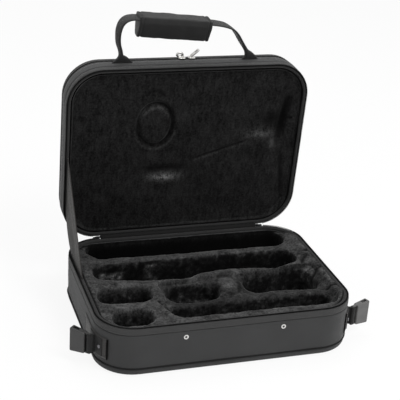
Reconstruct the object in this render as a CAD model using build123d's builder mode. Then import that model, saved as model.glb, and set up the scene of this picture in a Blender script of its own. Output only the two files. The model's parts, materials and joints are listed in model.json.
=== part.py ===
"""A zippered clarinet case, standing open on its base.

Origin: middle of the base's underside.  +X to the case's right, -Y to its front, +Z up.
The lid stands open on a fabric hinge along the top of the rear wall.
"""

import os
from math import cos, radians, sin

from build123d import *

os.makedirs("parts", exist_ok=True)

# ---------------------------------------------------------------- case, overall
case_width = 344.0
case_depth = 255.0
corner_radius = 50.0
base_height = 67.0
lid_depth = 27.0
rim_gap = 4.4  # between the closed rims, filled by the two zip coils
open_angle = 84.9  # how far the lid stands open

# ---------------------------------------------------------------- shells
base_wall = 7.0
base_floor = 6.0
base_edge_radius = 5.0
lid_wall = 6.0
lid_back = 5.0
lid_edge_radius = 3.0
fit = 0.3  # clearance between pieces that aren't joined
seat = 0.2  # glue or stitch gap between pieces of one body
overcut = 1.0  # how far a cut runs past the face it opens
tolerance = 0.01

# ---------------------------------------------------------------- rim, zip and piping
tape_height = 9.5
tape_thickness = 1.6
coil_height = 2.0
coil_width = 2.4
cap_height = 3.0
piping_height = 10.0
piping_diameter = 2.6
piping_flat = 0.2  # left between the piping's two rounded edges

# ---------------------------------------------------------------- fabric hinge and stay
hinge_width = 236.0
hinge_bend_radius = 2.4
stay_inset = 4.6
stay_thickness = 1.0
stay_base_front = 11.0  # y of the stay's front corner on the base rim
stay_base_rear = 84.0
stay_lid_front = 128.0  # how far up the lid rim the stay reaches
stay_lid_rear = 46.0
stay_bulge = 11.0

# ---------------------------------------------------------------- fitted tray
tray_drop = 3.6  # the plush top lies this far below the rim
tray_edge_radius = 2.4
trough_edge_radius = 3.0
trough_corner = 18.0
trough_floor_radius = 10.0
rear_margin = 8.0  # plush between the rear wall and the first trough
long_ridge = 14.5  # between the two long troughs
wide_ridge = 21.0  # between the second trough and the pockets in front of it
bell_ridge = 12.0
lower_joint_left_margin = 19.2  # plush between the trough's end and the case's wall
lower_joint_right_margin = 18.2
lower_joint_width = 43.0
lower_joint_floor = 15.0
upper_joint_left_margin = 22.2
upper_joint_right_margin = 21.2
upper_joint_width = 44.0
upper_joint_floor = 20.0
ligature_length = 74.0
ligature_width = 42.0
ligature_floor = 32.0
ligature_margin = 8.0
barrel_width = 42.0
barrel_floor = 30.0
barrel_gap = 17.0  # between the ligature and barrel pockets
saddle_length = 35.7  # between the barrel and bell pockets
bell_length = 104.0
bell_width = 50.0
bell_floor = 17.0
side_margin = 14.7  # plush at the right end of the tray
mouthpiece_length = 54.0
mouthpiece_width = 40.0
mouthpiece_floor = 26.0
mouthpiece_margin = 16.7
front_margin = 10.2
accessory_width = 32.0
accessory_floor = 20.0
accessory_margin = 23.0
well_drop = 7.0  # the ridges among barrel, bell and accessory pockets are this much lower
well_margin = 5.0
well_corner = 12.0

# ---------------------------------------------------------------- lid lining
lining_recess = 7.0
lining_edge_radius = 4.0
bell_ring_x = -46.0
bell_ring_t = 168.0  # height up the open lid
bell_ring_width = 56.0
bell_ring_height = 72.0
bell_ring_groove = 7.0
bell_ring_depth = 2.4

# ---------------------------------------------------------------- outer pocket
pocket_inset = 1.6
pocket_depth = 11.0
pocket_wall = 2.0
pocket_panel_thickness = 4.0
pocket_edge_radius = 2.8
pocket_zip_from_lid = 5.0
pocket_coil_height = 1.4
pocket_zip_drop = 96.0  # how far the pocket zip runs down each side

# ---------------------------------------------------------------- handle
handle_from_rim = 21.0
foot_width = 26.0
foot_height = 9.6
foot_thickness = 3.0
foot_left_x = -94.0
foot_right_x = 87.0
pivot_height = 16.0
left_leg_shift = 2.5  # from the foot's middle to the leg's foot
left_leg_lean = 4.0
left_leg_bend_height = 30.0
left_leg_top = 46.0
right_leg_shift = 7.5
right_leg_lean = 9.0
right_leg_bend_height = 26.0
right_leg_reach = 14.0
right_leg_top = 34.0
shoulder_reach = 22.0  # from the right leg's foot in to where the strap levels off
shoulder_drop = 6.0
strap_thickness = 2.6
strap_width = 24.0
leg_width = 12.0
leg_thickness = 4.4
grip_length = 100.0
grip_x = -26.0
grip_left_height = 63.5
grip_right_height = 54.5
grip_height = 30.0
grip_width = 30.0
grip_top_width = 24.0
grip_foot_width = 14.0
grip_above_strap = 5.0
grip_corner_radius = 5.0
strap_bend_radius = 12.0

# ---------------------------------------------------------------- zip sliders
slider_length = 10.0
slider_width = 8.4
slider_plate = 1.4
lug_width = 1.6
lug_length = 4.0
pull_pin_height = 2.0
pull_pin_radius = 0.8
pull_pin_clearance = 0.06
pull_length = 13.0
pull_width = 6.6
pull_thickness = 1.4
pull_arm_clearance = 0.2
pull_arm_round = 1.5
pull_pin_inset = 0.5
slider_rail = 1.1
slider_rail_length = 7.0
neck_length = 6.0
neck_depth = 3.5
pull_hole_length = 5.3
pull_hole_width = 2.6
pull_hole_inset = 4.6
main_slider_drop = 2.0  # from the rim to the slider's middle
main_pull_raised = 0.0
pocket_slider_left_x = -8.0
pocket_slider_right_x = 6.0
pocket_pull_left_raised = 15.0
pocket_pull_right_raised = 40.0

# ---------------------------------------------------------------- side patches and buckles
patch_thickness = 1.2
patch_low = 18.0
patch_high = 46.5
patch_front_angle = 40.0  # round the front corner, from the side wall
patch_rear_length = 38.0  # behind the corner, along the side wall
tab_angle = 14.0
tab_height = 32.5
webbing_width = 25.0
webbing_thickness = 1.5
tab_reach = 8.0
flange_half_angle = 17.0
rivet_turn = 12.0  # each rivet stands this far round the corner from the tab
bar_radius = 1.6
bar_clearance = 0.5
socket_length = 27.0
socket_narrow = 29.0
socket_rail = 1.5
socket_wide = 34.0
socket_thickness = 9.0
socket_mouth_width = 26.0
socket_mouth_thickness = 5.0
socket_mouth_depth = 15.0
socket_window_length = 8.0
socket_window_lip = 0.4
socket_slot = 3.6
socket_corner = 2.0
socket_edge = 1.5
rail_bite = 1.0  # how far the two rails run on into the bar and the body
left_buckle_angle = 45.0  # how far each buckle points back from straight out
right_buckle_angle = 20.0

# ---------------------------------------------------------------- rivets and eyelets
eyelet_spacing = 130.0
eyelet_drop = 17.5  # the eyelets' centres lie this far below the rim
eyelet_flange_radius = 3.2
eyelet_barrel_radius = 2.2
eyelet_hole_radius = 1.5
eyelet_flange = 0.8
eyelet_depth = 5.0
rivet_radius = 2.6
rivet_shank_radius = 1.1
rivet_head = 1.3
rivet_round = 1.0

# ---------------------------------------------------------------- worked-out places
half_width = case_width / 2
half_depth = case_depth / 2
seam_height = base_height - tape_height
eyelet_height = base_height - eyelet_drop
hinge_height = base_height + rim_gap / 2
lean = radians(90 - open_angle)
tray_top = base_height - tray_drop

# The lid's own frame: origin in the middle of its rim, x along X, z outwards from the rim,
# y towards the hinge, so the closed lid would have the case's own axes.
lid_out = Vector(0, cos(lean), sin(lean))
lid_up = Vector(0, -sin(lean), cos(lean))
hinge_point = Vector(0, half_depth, hinge_height)
lid_origin = hinge_point + lid_up * half_depth + lid_out * (rim_gap / 2)
lid_frame = Plane(origin=lid_origin, x_dir=(1, 0, 0), z_dir=lid_out)


def save(part, name):
    part.label = name
    export_step(part, f"parts/{name}.step")


def outline(inset, mode=Mode.ADD):
    """The case's plan outline, moved inwards by inset, in the sketch under way."""
    width = case_width - 2 * inset
    depth = case_depth - 2 * inset
    RectangleRounded(width, depth, corner_radius - inset, mode=mode)


def ring(frame, low, high, outer_inset, inner_inset):
    """A closed band that follows the case's outline."""
    with BuildPart() as band:
        with BuildSketch(frame.offset(low)):
            outline(outer_inset)
            outline(inner_inset, Mode.SUBTRACT)
        extrude(amount=high - low)
    return band.part


def hinge_cut(frame, width):
    """A block over the rear wall of a band, as wide as what it leaves room for."""
    with BuildPart() as block:
        with BuildSketch(frame.offset(-lid_depth)):
            with Locations((0, half_depth)):
                Rectangle(width, corner_radius)
        extrude(amount=2 * lid_depth + base_height)
    return block.part


# ---------------------------------------------------------------- round the front corners
corner_centre = Vector(half_width - corner_radius, corner_radius - half_depth)
wedge_reach = 3 * corner_radius


def round_corner(side, angle, radius):
    """A point round the front corner of one side, counted from the side wall to the front."""
    x = side * (corner_centre.X + radius * cos(radians(angle)))
    y = corner_centre.Y - radius * sin(radians(angle))
    return (x, y)


def corner_band(side, low, high, outer, inner, front_angle, rear_y):
    """A strip of a band round the case, from an angle on a front corner back to rear_y."""
    far_x = side * (half_width + wedge_reach)
    front_point = round_corner(side, front_angle, wedge_reach)
    with BuildPart() as strip:
        add(ring(Plane.XY, low, high, -outer, -inner))
        with BuildSketch(Plane.XY.offset(low)):
            with BuildLine():
                Polyline(
                    (side * corner_centre.X, corner_centre.Y),
                    front_point,
                    (far_x, front_point[1]),
                    (far_x, rear_y),
                    (side * corner_centre.X, rear_y),
                    close=True,
                )
            make_face()
        extrude(amount=high - low, mode=Mode.INTERSECT)
    return strip.part


def outward_frame(side, angle, radius, height):
    """A frame on the corner: z straight out of the case, x up."""
    x, y = round_corner(side, angle, radius)
    out = Vector(side * cos(radians(angle)), -sin(radians(angle)), 0)
    return Plane(origin=(x, y, height), x_dir=(0, 0, 1), z_dir=out)


def rivet_frames(side, radius):
    return [
        outward_frame(side, tab_angle + turn, radius, tab_height)
        for turn in (-rivet_turn, rivet_turn)
    ]


flange_outer = patch_thickness + webbing_thickness
rivet_depth = flange_outer + base_wall / 2
loop_outer = bar_radius + bar_clearance + webbing_thickness
bar_reach = corner_radius + patch_thickness + tab_reach

# ================================================================ base shell
with BuildPart() as base_shell:
    with BuildSketch(Plane.XY):
        outline(0)
    extrude(amount=seam_height)
    fillet(base_shell.faces().sort_by(Axis.Z)[0].edges(), base_edge_radius)
    with BuildSketch(Plane.XY.offset(seam_height)):
        outline(tape_thickness + seat)
    extrude(amount=tape_height - cap_height - seat)
    with BuildSketch(Plane.XY.offset(base_floor)):
        outline(base_wall)
    extrude(amount=base_height, mode=Mode.SUBTRACT)
    with BuildSketch(Plane.XZ.offset(half_depth)):
        with Locations((-eyelet_spacing / 2, eyelet_height), (eyelet_spacing / 2, eyelet_height)):
            Circle(eyelet_barrel_radius)
    extrude(amount=-(eyelet_depth + seat), mode=Mode.SUBTRACT)
    for side in (-1, 1):
        for frame in rivet_frames(side, corner_radius + flange_outer - rivet_depth - seat):
            with BuildSketch(frame):
                Circle(rivet_shank_radius + fit / 2)
            extrude(amount=rivet_depth, mode=Mode.SUBTRACT)
save(base_shell.part, "base_shell")

# ================================================================ base piping and rim
with BuildPart() as base_piping:
    add(
        ring(
            Plane.XY,
            piping_height - piping_diameter / 2,
            piping_height + piping_diameter / 2,
            -piping_diameter / 2,
            0,
        )
    )
    rims = [face.outer_wire().edges() for face in base_piping.faces().filter_by(Plane.XY)]
    fillet(rims[0] + rims[1], piping_diameter / 2 - piping_flat)
save(base_piping.part, "base_piping")

with BuildPart() as base_rim_binding:
    add(ring(Plane.XY, base_height - cap_height, base_height, tape_thickness + seat, base_wall))
    top_face = base_rim_binding.faces().sort_by(Axis.Z)[-1]
    fillet(top_face.inner_wires()[0].edges(), cap_height / 3)
save(base_rim_binding.part, "base_rim_binding")

with BuildPart() as base_zip_tape:
    add(ring(Plane.XY, seam_height, base_height, 0, tape_thickness))
    add(hinge_cut(Plane.XY, hinge_width), mode=Mode.SUBTRACT)
save(base_zip_tape.part, "base_zip_tape")

coil_break = hinge_width + 2 * slider_length

with BuildPart() as base_zip_coil:
    add(ring(Plane.XY, base_height, base_height + coil_height, 0, coil_width))
    add(hinge_cut(Plane.XY, coil_break), mode=Mode.SUBTRACT)
save(base_zip_coil.part, "base_zip_coil")

# ================================================================ fitted tray
tray_half_width = half_width - base_wall - fit
tray_half_depth = half_depth - base_wall - fit
lower_joint_length = 2 * tray_half_width - lower_joint_left_margin - lower_joint_right_margin
lower_joint_x = (lower_joint_left_margin - lower_joint_right_margin) / 2
upper_joint_length = 2 * tray_half_width - upper_joint_left_margin - upper_joint_right_margin
upper_joint_x = (upper_joint_left_margin - upper_joint_right_margin) / 2
lower_joint_y = tray_half_depth - rear_margin - lower_joint_width / 2
upper_joint_y = lower_joint_y - (lower_joint_width + upper_joint_width) / 2 - long_ridge
upper_joint_near = upper_joint_y - upper_joint_width / 2
ligature_x = -tray_half_width + ligature_margin + ligature_length / 2
ligature_y = upper_joint_near - wide_ridge - ligature_width / 2
barrel_left = ligature_x + ligature_length / 2 + barrel_gap
barrel_y = upper_joint_near - wide_ridge - barrel_width / 2
tray_right = tray_half_width - side_margin
bell_x = tray_right - bell_length / 2
barrel_length = tray_right - bell_length - saddle_length - barrel_left
barrel_x = barrel_left + barrel_length / 2
bell_far = upper_joint_near - bell_ridge
bell_y = bell_far - bell_width / 2
accessory_length = tray_right - barrel_left
accessory_x = (tray_right + barrel_left) / 2
accessory_near = -tray_half_depth + accessory_margin
accessory_y = accessory_near + accessory_width / 2
mouthpiece_x = -tray_half_width + mouthpiece_margin + mouthpiece_length / 2
mouthpiece_y = -tray_half_depth + front_margin + mouthpiece_width / 2
well_top = tray_top - well_drop
well_low_y = accessory_near - well_margin
well_high_y = bell_far + well_margin / 2
well_length = accessory_length + 2 * well_margin
well_width = well_high_y - well_low_y


def trough(x, y, length, width, floor):
    """The room one piece of the instrument lies in, with rounded ends and a rounded floor."""
    with BuildPart() as room:
        with BuildSketch(Plane.XY.offset(floor)):
            with Locations((x, y)):
                RectangleRounded(length, width, min(trough_corner, width / 2 - overcut))
        extrude(amount=tray_top - floor + overcut)
        fillet(room.faces().sort_by(Axis.Z)[0].edges(), trough_floor_radius)
    return room.part


def mouth_edges(part, level, x, y, length, width):
    """The edges of one hollow's mouth, in the face at that level."""
    return [
        edge
        for edge in part.edges().filter_by_position(Axis.Z, level - tolerance, level + tolerance)
        if abs(edge.center().X - x) < length / 2 + tolerance
        and abs(edge.center().Y - y) < width / 2 + tolerance
    ]


plain_troughs = [
    (lower_joint_x, lower_joint_y, lower_joint_length, lower_joint_width, lower_joint_floor),
    (upper_joint_x, upper_joint_y, upper_joint_length, upper_joint_width, upper_joint_floor),
    (ligature_x, ligature_y, ligature_length, ligature_width, ligature_floor),
    (mouthpiece_x, mouthpiece_y, mouthpiece_length, mouthpiece_width, mouthpiece_floor),
]
well_troughs = [
    (barrel_x, barrel_y, barrel_length, barrel_width, barrel_floor),
    (bell_x, bell_y, bell_length, bell_width, bell_floor),
    (accessory_x, accessory_y, accessory_length, accessory_width, accessory_floor),
]
well = (accessory_x, (well_low_y + well_high_y) / 2, well_length, well_width)

with BuildPart() as tray_insert:
    with BuildSketch(Plane.XY.offset(base_floor + seat)):
        outline(base_wall + fit)
    extrude(amount=tray_top - base_floor - seat)
    fillet(tray_insert.faces().sort_by(Axis.Z)[-1].edges(), tray_edge_radius)
    for x, y, length, width, floor in plain_troughs:
        add(trough(x, y, length, width, floor), mode=Mode.SUBTRACT)
        fillet(mouth_edges(tray_insert, tray_top, x, y, length, width), trough_edge_radius)
    with BuildSketch(Plane.XY.offset(well_top)):
        with Locations(well[:2]):
            RectangleRounded(well_length, well_width, well_corner)
    extrude(amount=well_drop + overcut, mode=Mode.SUBTRACT)
    fillet(mouth_edges(tray_insert, tray_top, *well), trough_edge_radius)
    for x, y, length, width, floor in well_troughs:
        add(trough(x, y, length, width, floor), mode=Mode.SUBTRACT)
        fillet(mouth_edges(tray_insert, well_top, x, y, length, width), trough_edge_radius)
save(tray_insert.part, "tray_insert")

# ================================================================ side patches and strap tabs
for side, word in ((-1, "left"), (1, "right")):
    patch_rear = corner_centre.Y + patch_rear_length
    with BuildPart() as side_patch:
        add(
            corner_band(
                side, patch_low, patch_high, patch_thickness, 0, patch_front_angle, patch_rear
            )
        )
        for frame in rivet_frames(side, corner_radius - base_wall):
            with BuildSketch(frame):
                Circle(rivet_shank_radius + fit / 2)
            extrude(amount=2 * base_wall, mode=Mode.SUBTRACT)
    save(side_patch.part, f"side_patch_{word}")

    bar_x, bar_y = round_corner(side, tab_angle, bar_reach)
    flange_rear = round_corner(side, tab_angle - flange_half_angle, corner_radius)[1]
    with BuildPart() as strap_tab:
        add(
            corner_band(
                side,
                tab_height - webbing_width / 2,
                tab_height + webbing_width / 2,
                flange_outer,
                patch_thickness,
                tab_angle + flange_half_angle,
                flange_rear,
            )
        )
        neck = Plane(
            origin=(bar_x, bar_y, tab_height),
            x_dir=(side * cos(radians(tab_angle)), -sin(radians(tab_angle)), 0),
            z_dir=(0, 0, 1),
        )
        with BuildSketch(neck):
            Circle(loop_outer)
            with Locations((-tab_reach / 2, 0)):
                Rectangle(tab_reach, 2 * webbing_thickness)
            Circle(bar_radius + bar_clearance, mode=Mode.SUBTRACT)
        extrude(amount=webbing_width / 2, both=True)
        with BuildSketch(Plane.XY):
            outline(-patch_thickness)
        extrude(amount=base_height, mode=Mode.SUBTRACT)
        for frame in rivet_frames(side, corner_radius - base_wall):
            with BuildSketch(frame):
                Circle(rivet_shank_radius + fit / 2)
            extrude(amount=2 * base_wall, mode=Mode.SUBTRACT)
    save(strap_tab.part, f"strap_tab_{word}")

with BuildPart() as patch_rivets:
    for side in (-1, 1):
        for frame in rivet_frames(side, corner_radius + flange_outer + seat / 4):
            with BuildSketch(frame):
                Circle(rivet_radius)
            extrude(amount=rivet_head)
            with BuildSketch(frame):
                Circle(rivet_shank_radius)
            extrude(amount=-rivet_depth)
    heads = patch_rivets.edges().filter_by(GeomType.CIRCLE).filter_by(
        lambda edge: abs(edge.radius - rivet_radius) < tolerance
    )
    outer_rims = [
        edge
        for edge in heads
        if (Vector(abs(edge.center().X), edge.center().Y, 0) - corner_centre).length
        > corner_radius + flange_outer + rivet_head / 2
    ]
    fillet(outer_rims, rivet_round)
save(patch_rivets.part, "patch_rivets")

# ================================================================ buckles on the strap tabs
socket_start = bar_radius + socket_slot
socket_half = socket_thickness / 2
bar_half_length = webbing_width / 2 + fit + socket_rail
rail_offset = bar_half_length - socket_rail / 2
window_half = socket_mouth_thickness / 2 - socket_window_lip

for side, word, back_angle in ((-1, "left", left_buckle_angle), (1, "right", right_buckle_angle)):
    bar_x, bar_y = round_corner(side, tab_angle, bar_reach)
    along = Vector(side * cos(radians(back_angle)), sin(radians(back_angle)), 0)
    flat = Plane(origin=(bar_x, bar_y, tab_height), x_dir=along, z_dir=along.cross(Vector(0, 0, 1)))
    with BuildPart() as buckle:
        with BuildSketch(flat):
            with BuildLine():
                Polyline(
                    (socket_start, -socket_narrow / 2),
                    (socket_length, -socket_wide / 2),
                    (socket_length, socket_wide / 2),
                    (socket_start, socket_narrow / 2),
                    close=True,
                )
            make_face()
        extrude(amount=socket_half, both=True)
        thickness_axis = Axis(flat.origin, flat.z_dir)
        fillet(buckle.edges().filter_by(thickness_axis), socket_corner)
        long_edges = buckle.faces().filter_by(thickness_axis).edges()
        fillet(long_edges, socket_edge)
        mouth_middle = socket_length - socket_mouth_depth / 2
        with BuildSketch(flat):
            with Locations((mouth_middle + overcut / 2, 0)):
                Rectangle(socket_mouth_depth + overcut, socket_mouth_width)
        extrude(amount=socket_mouth_thickness / 2, both=True, mode=Mode.SUBTRACT)
        with BuildSketch(flat):
            with Locations((mouth_middle, 0)):
                Rectangle(socket_window_length, socket_wide + 2 * overcut)
        extrude(amount=window_half, both=True, mode=Mode.SUBTRACT)
        with BuildSketch(flat):
            for end in (-1, 1):
                with Locations(((socket_start + rail_bite) / 2, end * rail_offset)):
                    Rectangle(socket_start + rail_bite, socket_rail)
        extrude(amount=bar_radius, both=True)
        with BuildSketch(Plane.XY.offset(tab_height - bar_half_length)):
            with Locations((bar_x, bar_y)):
                Circle(bar_radius)
        extrude(amount=2 * bar_half_length)
    save(buckle.part, f"buckle_{word}")

# ================================================================ front eyelets
with BuildPart() as front_eyelets:
    with BuildSketch(Plane.XZ.offset(half_depth)):
        with Locations((-eyelet_spacing / 2, eyelet_height), (eyelet_spacing / 2, eyelet_height)):
            Circle(eyelet_flange_radius)
            Circle(eyelet_hole_radius, mode=Mode.SUBTRACT)
    extrude(amount=eyelet_flange)
    with BuildSketch(Plane.XZ.offset(half_depth)):
        with Locations((-eyelet_spacing / 2, eyelet_height), (eyelet_spacing / 2, eyelet_height)):
            Circle(eyelet_barrel_radius - seat / 2)
            Circle(eyelet_hole_radius, mode=Mode.SUBTRACT)
    extrude(amount=-eyelet_depth)
save(front_eyelets.part, "front_eyelets")

# ================================================================ fabric hinge
def lid_point(x, up, out):
    """A point of the open lid: up from its hinge edge, out from its rim."""
    return lid_origin + Vector(x, 0, 0) + lid_up * (up - half_depth) + lid_out * out


hinge_side = Plane(origin=(0, 0, 0), x_dir=(0, 1, 0), z_dir=(1, 0, 0))
panel_inset = tape_thickness / 2
panel_top = lid_point(0, panel_inset, tape_height)
panel_turn_height = panel_top.Z - (panel_top.Y - half_depth + panel_inset) * sin(lean) / cos(lean)

with BuildPart() as hinge_panel:
    with BuildSketch(hinge_side):
        with BuildLine():
            FilletPolyline(
                (half_depth - panel_inset, seam_height + seat),
                (half_depth - panel_inset, panel_turn_height),
                (panel_top.Y, panel_top.Z),
                radius=hinge_bend_radius,
            )
        trace(line_width=tape_thickness)
    extrude(amount=hinge_width / 2 - fit, both=True)
save(hinge_panel.part, "hinge_panel")

# ================================================================ stay at the left side
stay_x = -(half_width - stay_inset)
stay_low = base_height + seat
stay_lid_gap = -seat
low_front = (stay_base_front, stay_low)
low_rear = (stay_base_rear, stay_low)
high_front = lid_point(0, stay_lid_front, stay_lid_gap)
high_rear = lid_point(0, stay_lid_rear, stay_lid_gap)
waist = ((stay_base_rear + high_rear.Y) / 2 + stay_bulge / 2, base_height + stay_lid_rear / 2)
belly_y = (stay_base_front + high_front.Y) / 2 - stay_bulge
belly_z = (stay_low + high_front.Z) / 2 - stay_bulge

with BuildPart() as lid_stay:
    with BuildSketch(hinge_side.offset(stay_x - stay_thickness / 2)):
        with BuildLine():
            Line(low_front, low_rear)
            ThreePointArc(low_rear, waist, (high_rear.Y, high_rear.Z))
            Line((high_rear.Y, high_rear.Z), (high_front.Y, high_front.Z))
            ThreePointArc((high_front.Y, high_front.Z), (belly_y, belly_z), low_front)
        make_face()
    extrude(amount=stay_thickness)
save(lid_stay.part, "lid_stay")

# ================================================================ lid shell
with BuildPart() as lid_shell:
    with BuildSketch(lid_frame.offset(cap_height + seat)):
        outline(tape_thickness + seat)
    extrude(amount=tape_height - cap_height - seat)
    with BuildSketch(lid_frame.offset(tape_height)):
        outline(0)
    extrude(amount=lid_depth - tape_height)
    back_face = lid_shell.faces().sort_by(Axis(lid_frame.origin, lid_frame.z_dir))[-1]
    fillet(back_face.edges(), lid_edge_radius)
    with BuildSketch(lid_frame):
        outline(lid_wall)
    extrude(amount=lid_depth - lid_back, mode=Mode.SUBTRACT)
save(lid_shell.part, "lid_shell")

with BuildPart() as lid_rim_binding:
    add(ring(lid_frame, 0, cap_height, tape_thickness + seat, lid_wall))
    rim_face = lid_rim_binding.faces().sort_by(Axis(lid_frame.origin, lid_frame.z_dir))[0]
    fillet(rim_face.inner_wires()[0].edges(), cap_height / 3)
save(lid_rim_binding.part, "lid_rim_binding")

with BuildPart() as lid_zip_tape:
    add(ring(lid_frame, 0, tape_height - seat, 0, tape_thickness))
    add(hinge_cut(lid_frame, hinge_width), mode=Mode.SUBTRACT)
save(lid_zip_tape.part, "lid_zip_tape")

with BuildPart() as lid_zip_coil:
    add(ring(lid_frame, -coil_height, 0, 0, coil_width))
    add(hinge_cut(lid_frame, coil_break), mode=Mode.SUBTRACT)
save(lid_zip_coil.part, "lid_zip_coil")

# ================================================================ lid lining
lining_front = lid_frame.offset(lining_recess)
with BuildPart() as lid_lining:
    with BuildSketch(lining_front):
        outline(lid_wall + seat)
    extrude(amount=lid_depth - lid_back - lining_recess - seat)
    front_face = lid_lining.faces().sort_by(Axis(lid_frame.origin, lid_frame.z_dir))[0]
    fillet(front_face.edges(), lining_edge_radius)
    with BuildSketch(lining_front):
        with Locations((bell_ring_x, half_depth - bell_ring_t)):
            Ellipse(bell_ring_width / 2, bell_ring_height / 2)
            Ellipse(
                bell_ring_width / 2 - bell_ring_groove,
                bell_ring_height / 2 - bell_ring_groove,
                mode=Mode.SUBTRACT,
            )
    extrude(amount=bell_ring_depth, mode=Mode.SUBTRACT)
save(lid_lining.part, "lid_lining")

# ================================================================ outer pocket
pocket_low = lid_depth + seat
pocket_high = pocket_low + pocket_depth
pocket_zip = lid_depth + pocket_zip_from_lid

with BuildPart() as pocket_gusset:
    add(ring(lid_frame, pocket_low, pocket_high, pocket_inset, pocket_inset + pocket_wall))
save(pocket_gusset.part, "pocket_gusset")

with BuildPart() as pocket_panel:
    with BuildSketch(lid_frame.offset(pocket_high + seat)):
        outline(pocket_inset)
    extrude(amount=pocket_panel_thickness)
    panel_face = pocket_panel.faces().sort_by(Axis(lid_frame.origin, lid_frame.z_dir))[-1]
    fillet(panel_face.edges(), pocket_edge_radius)
save(pocket_panel.part, "pocket_panel")

with BuildPart() as pocket_zip_coil:
    add(
        ring(
            lid_frame,
            pocket_zip - coil_width / 2,
            pocket_zip + coil_width / 2,
            pocket_inset - pocket_coil_height,
            pocket_inset,
        )
    )
    with BuildSketch(lid_frame):
        with Locations((0, pocket_zip_drop)):
            Rectangle(case_width + corner_radius, case_depth)
    extrude(amount=2 * lid_depth, mode=Mode.SUBTRACT)
save(pocket_zip_coil.part, "pocket_zip_coil")

# ================================================================ handle
handle_plane = Plane(
    origin=lid_point(0, case_depth, handle_from_rim), x_dir=(1, 0, 0), z_dir=-lid_out
)
leg_left_x = foot_left_x - left_leg_shift
leg_right_x = foot_right_x - right_leg_shift
leg_top_left_x = leg_left_x - left_leg_lean
left_leg = (
    (leg_left_x, pivot_height),
    (leg_top_left_x, left_leg_bend_height),
    (leg_top_left_x, left_leg_top),
)
right_leg = (
    (leg_right_x, pivot_height),
    (leg_right_x - right_leg_lean, right_leg_bend_height),
    (leg_right_x - right_leg_reach, right_leg_top),
)
grip_left = (grip_x - grip_length / 2, grip_left_height)
grip_right = (grip_x + grip_length / 2, grip_right_height)
strap_route = [
    left_leg[1],
    (leg_top_left_x, grip_left_height),
    grip_left,
    grip_right,
    (leg_right_x - shoulder_reach, grip_right_height - shoulder_drop),
    right_leg[1],
]
grip_direction = Vector(grip_length, grip_right_height - grip_left_height).normalized()
grip_middle = (grip_x, (grip_left_height + grip_right_height) / 2)


def handle_point(x, height):
    return handle_plane.from_local_coords(Vector(x, height, 0))


grip_along = lid_up * grip_direction.Y + Vector(grip_direction.X, 0, 0)
grip_plane = Plane(origin=handle_point(*grip_middle), x_dir=lid_out, z_dir=grip_along)

with BuildPart() as handle_strap:
    with BuildSketch(handle_plane):
        with BuildLine():
            FilletPolyline(*strap_route, radius=strap_bend_radius)
        trace(line_width=strap_thickness)
    extrude(amount=strap_width / 2, both=True)
    for leg in (left_leg, right_leg):
        with BuildSketch(handle_plane):
            with BuildLine():
                Polyline(*leg)
            trace(line_width=leg_thickness)
        extrude(amount=leg_width / 2, both=True)
        pivot_plane = Plane(origin=handle_point(*leg[0]), x_dir=lid_up, z_dir=(1, 0, 0))
        with BuildSketch(pivot_plane):
            Circle(leg_width / 2)
        extrude(amount=leg_thickness / 2, both=True)
save(handle_strap.part, "handle_strap")

with BuildPart() as handle_grip:
    with BuildSketch(grip_plane) as grip_section:
        with BuildLine():
            Polyline(
                (-grip_top_width / 2, grip_above_strap),
                (grip_top_width / 2, grip_above_strap),
                (grip_width / 2, -strap_thickness),
                (grip_foot_width / 2, grip_above_strap - grip_height),
                (-grip_foot_width / 2, grip_above_strap - grip_height),
                (-grip_width / 2, -strap_thickness),
                close=True,
            )
        make_face()
        fillet(grip_section.vertices(), grip_corner_radius)
        Rectangle(strap_width + 2 * seat, strap_thickness + 2 * seat, mode=Mode.SUBTRACT)
    extrude(amount=grip_length / 2, both=True)
save(handle_grip.part, "handle_grip")

for foot_x, leg, word in ((foot_left_x, left_leg, "left"), (foot_right_x, right_leg, "right")):
    foot_plane = Plane(
        origin=lid_point(foot_x, case_depth, handle_from_rim), x_dir=(1, 0, 0), z_dir=lid_up
    )
    with BuildPart() as handle_foot:
        with BuildSketch(foot_plane):
            Rectangle(foot_width, foot_thickness)
        with BuildSketch(foot_plane.offset(foot_height)):
            with Locations((leg[0][0] - foot_x, 0)):
                Rectangle(leg_thickness, leg_width - 2 * seat)
        loft()
    save(handle_foot.part, f"handle_foot_{word}")

# ================================================================ zip sliders and pulls
def slider(frame, name, neck_from=0, neck_to=0):
    """A zip slider: a plate with a lug for its pull, and rails or a neck beneath it.

    The frame's x runs along the zip, and its z points out of the fabric.
    """
    with BuildPart() as body:
        with BuildSketch(frame):
            RectangleRounded(slider_length, slider_width, slider_width / 4)
        extrude(amount=slider_plate)
        fillet(body.faces().sort_by(Axis(frame.origin, frame.z_dir))[-1].edges(), slider_plate / 3)
        lug_side = Plane(origin=frame.origin, x_dir=frame.x_dir, z_dir=-frame.y_dir)
        with BuildSketch(lug_side):
            with Locations((0, slider_plate + pull_pin_height)):
                Circle(lug_length / 2)
            with Locations((0, slider_plate + pull_pin_height / 2 - slider_plate / 4)):
                Rectangle(lug_length, pull_pin_height + slider_plate / 2)
        extrude(amount=lug_width / 2, both=True)
        with BuildSketch(lug_side):
            with Locations((0, slider_plate + pull_pin_height)):
                Circle(pull_pin_radius + pull_pin_clearance)
        extrude(amount=slider_width, both=True, mode=Mode.SUBTRACT)
        if neck_to:
            with BuildSketch(frame):
                with Locations((0, (neck_from + neck_to) / 2)):
                    Rectangle(neck_length, abs(neck_to - neck_from))
            extrude(amount=-neck_depth)
        else:
            rail_middle = coil_width / 2 + fit + slider_rail / 2
            with BuildSketch(frame):
                with Locations((0, rail_middle), (0, -rail_middle)):
                    Rectangle(slider_rail_length, slider_rail)
            extrude(amount=-slider_rail)
    save(body.part, name)


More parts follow.
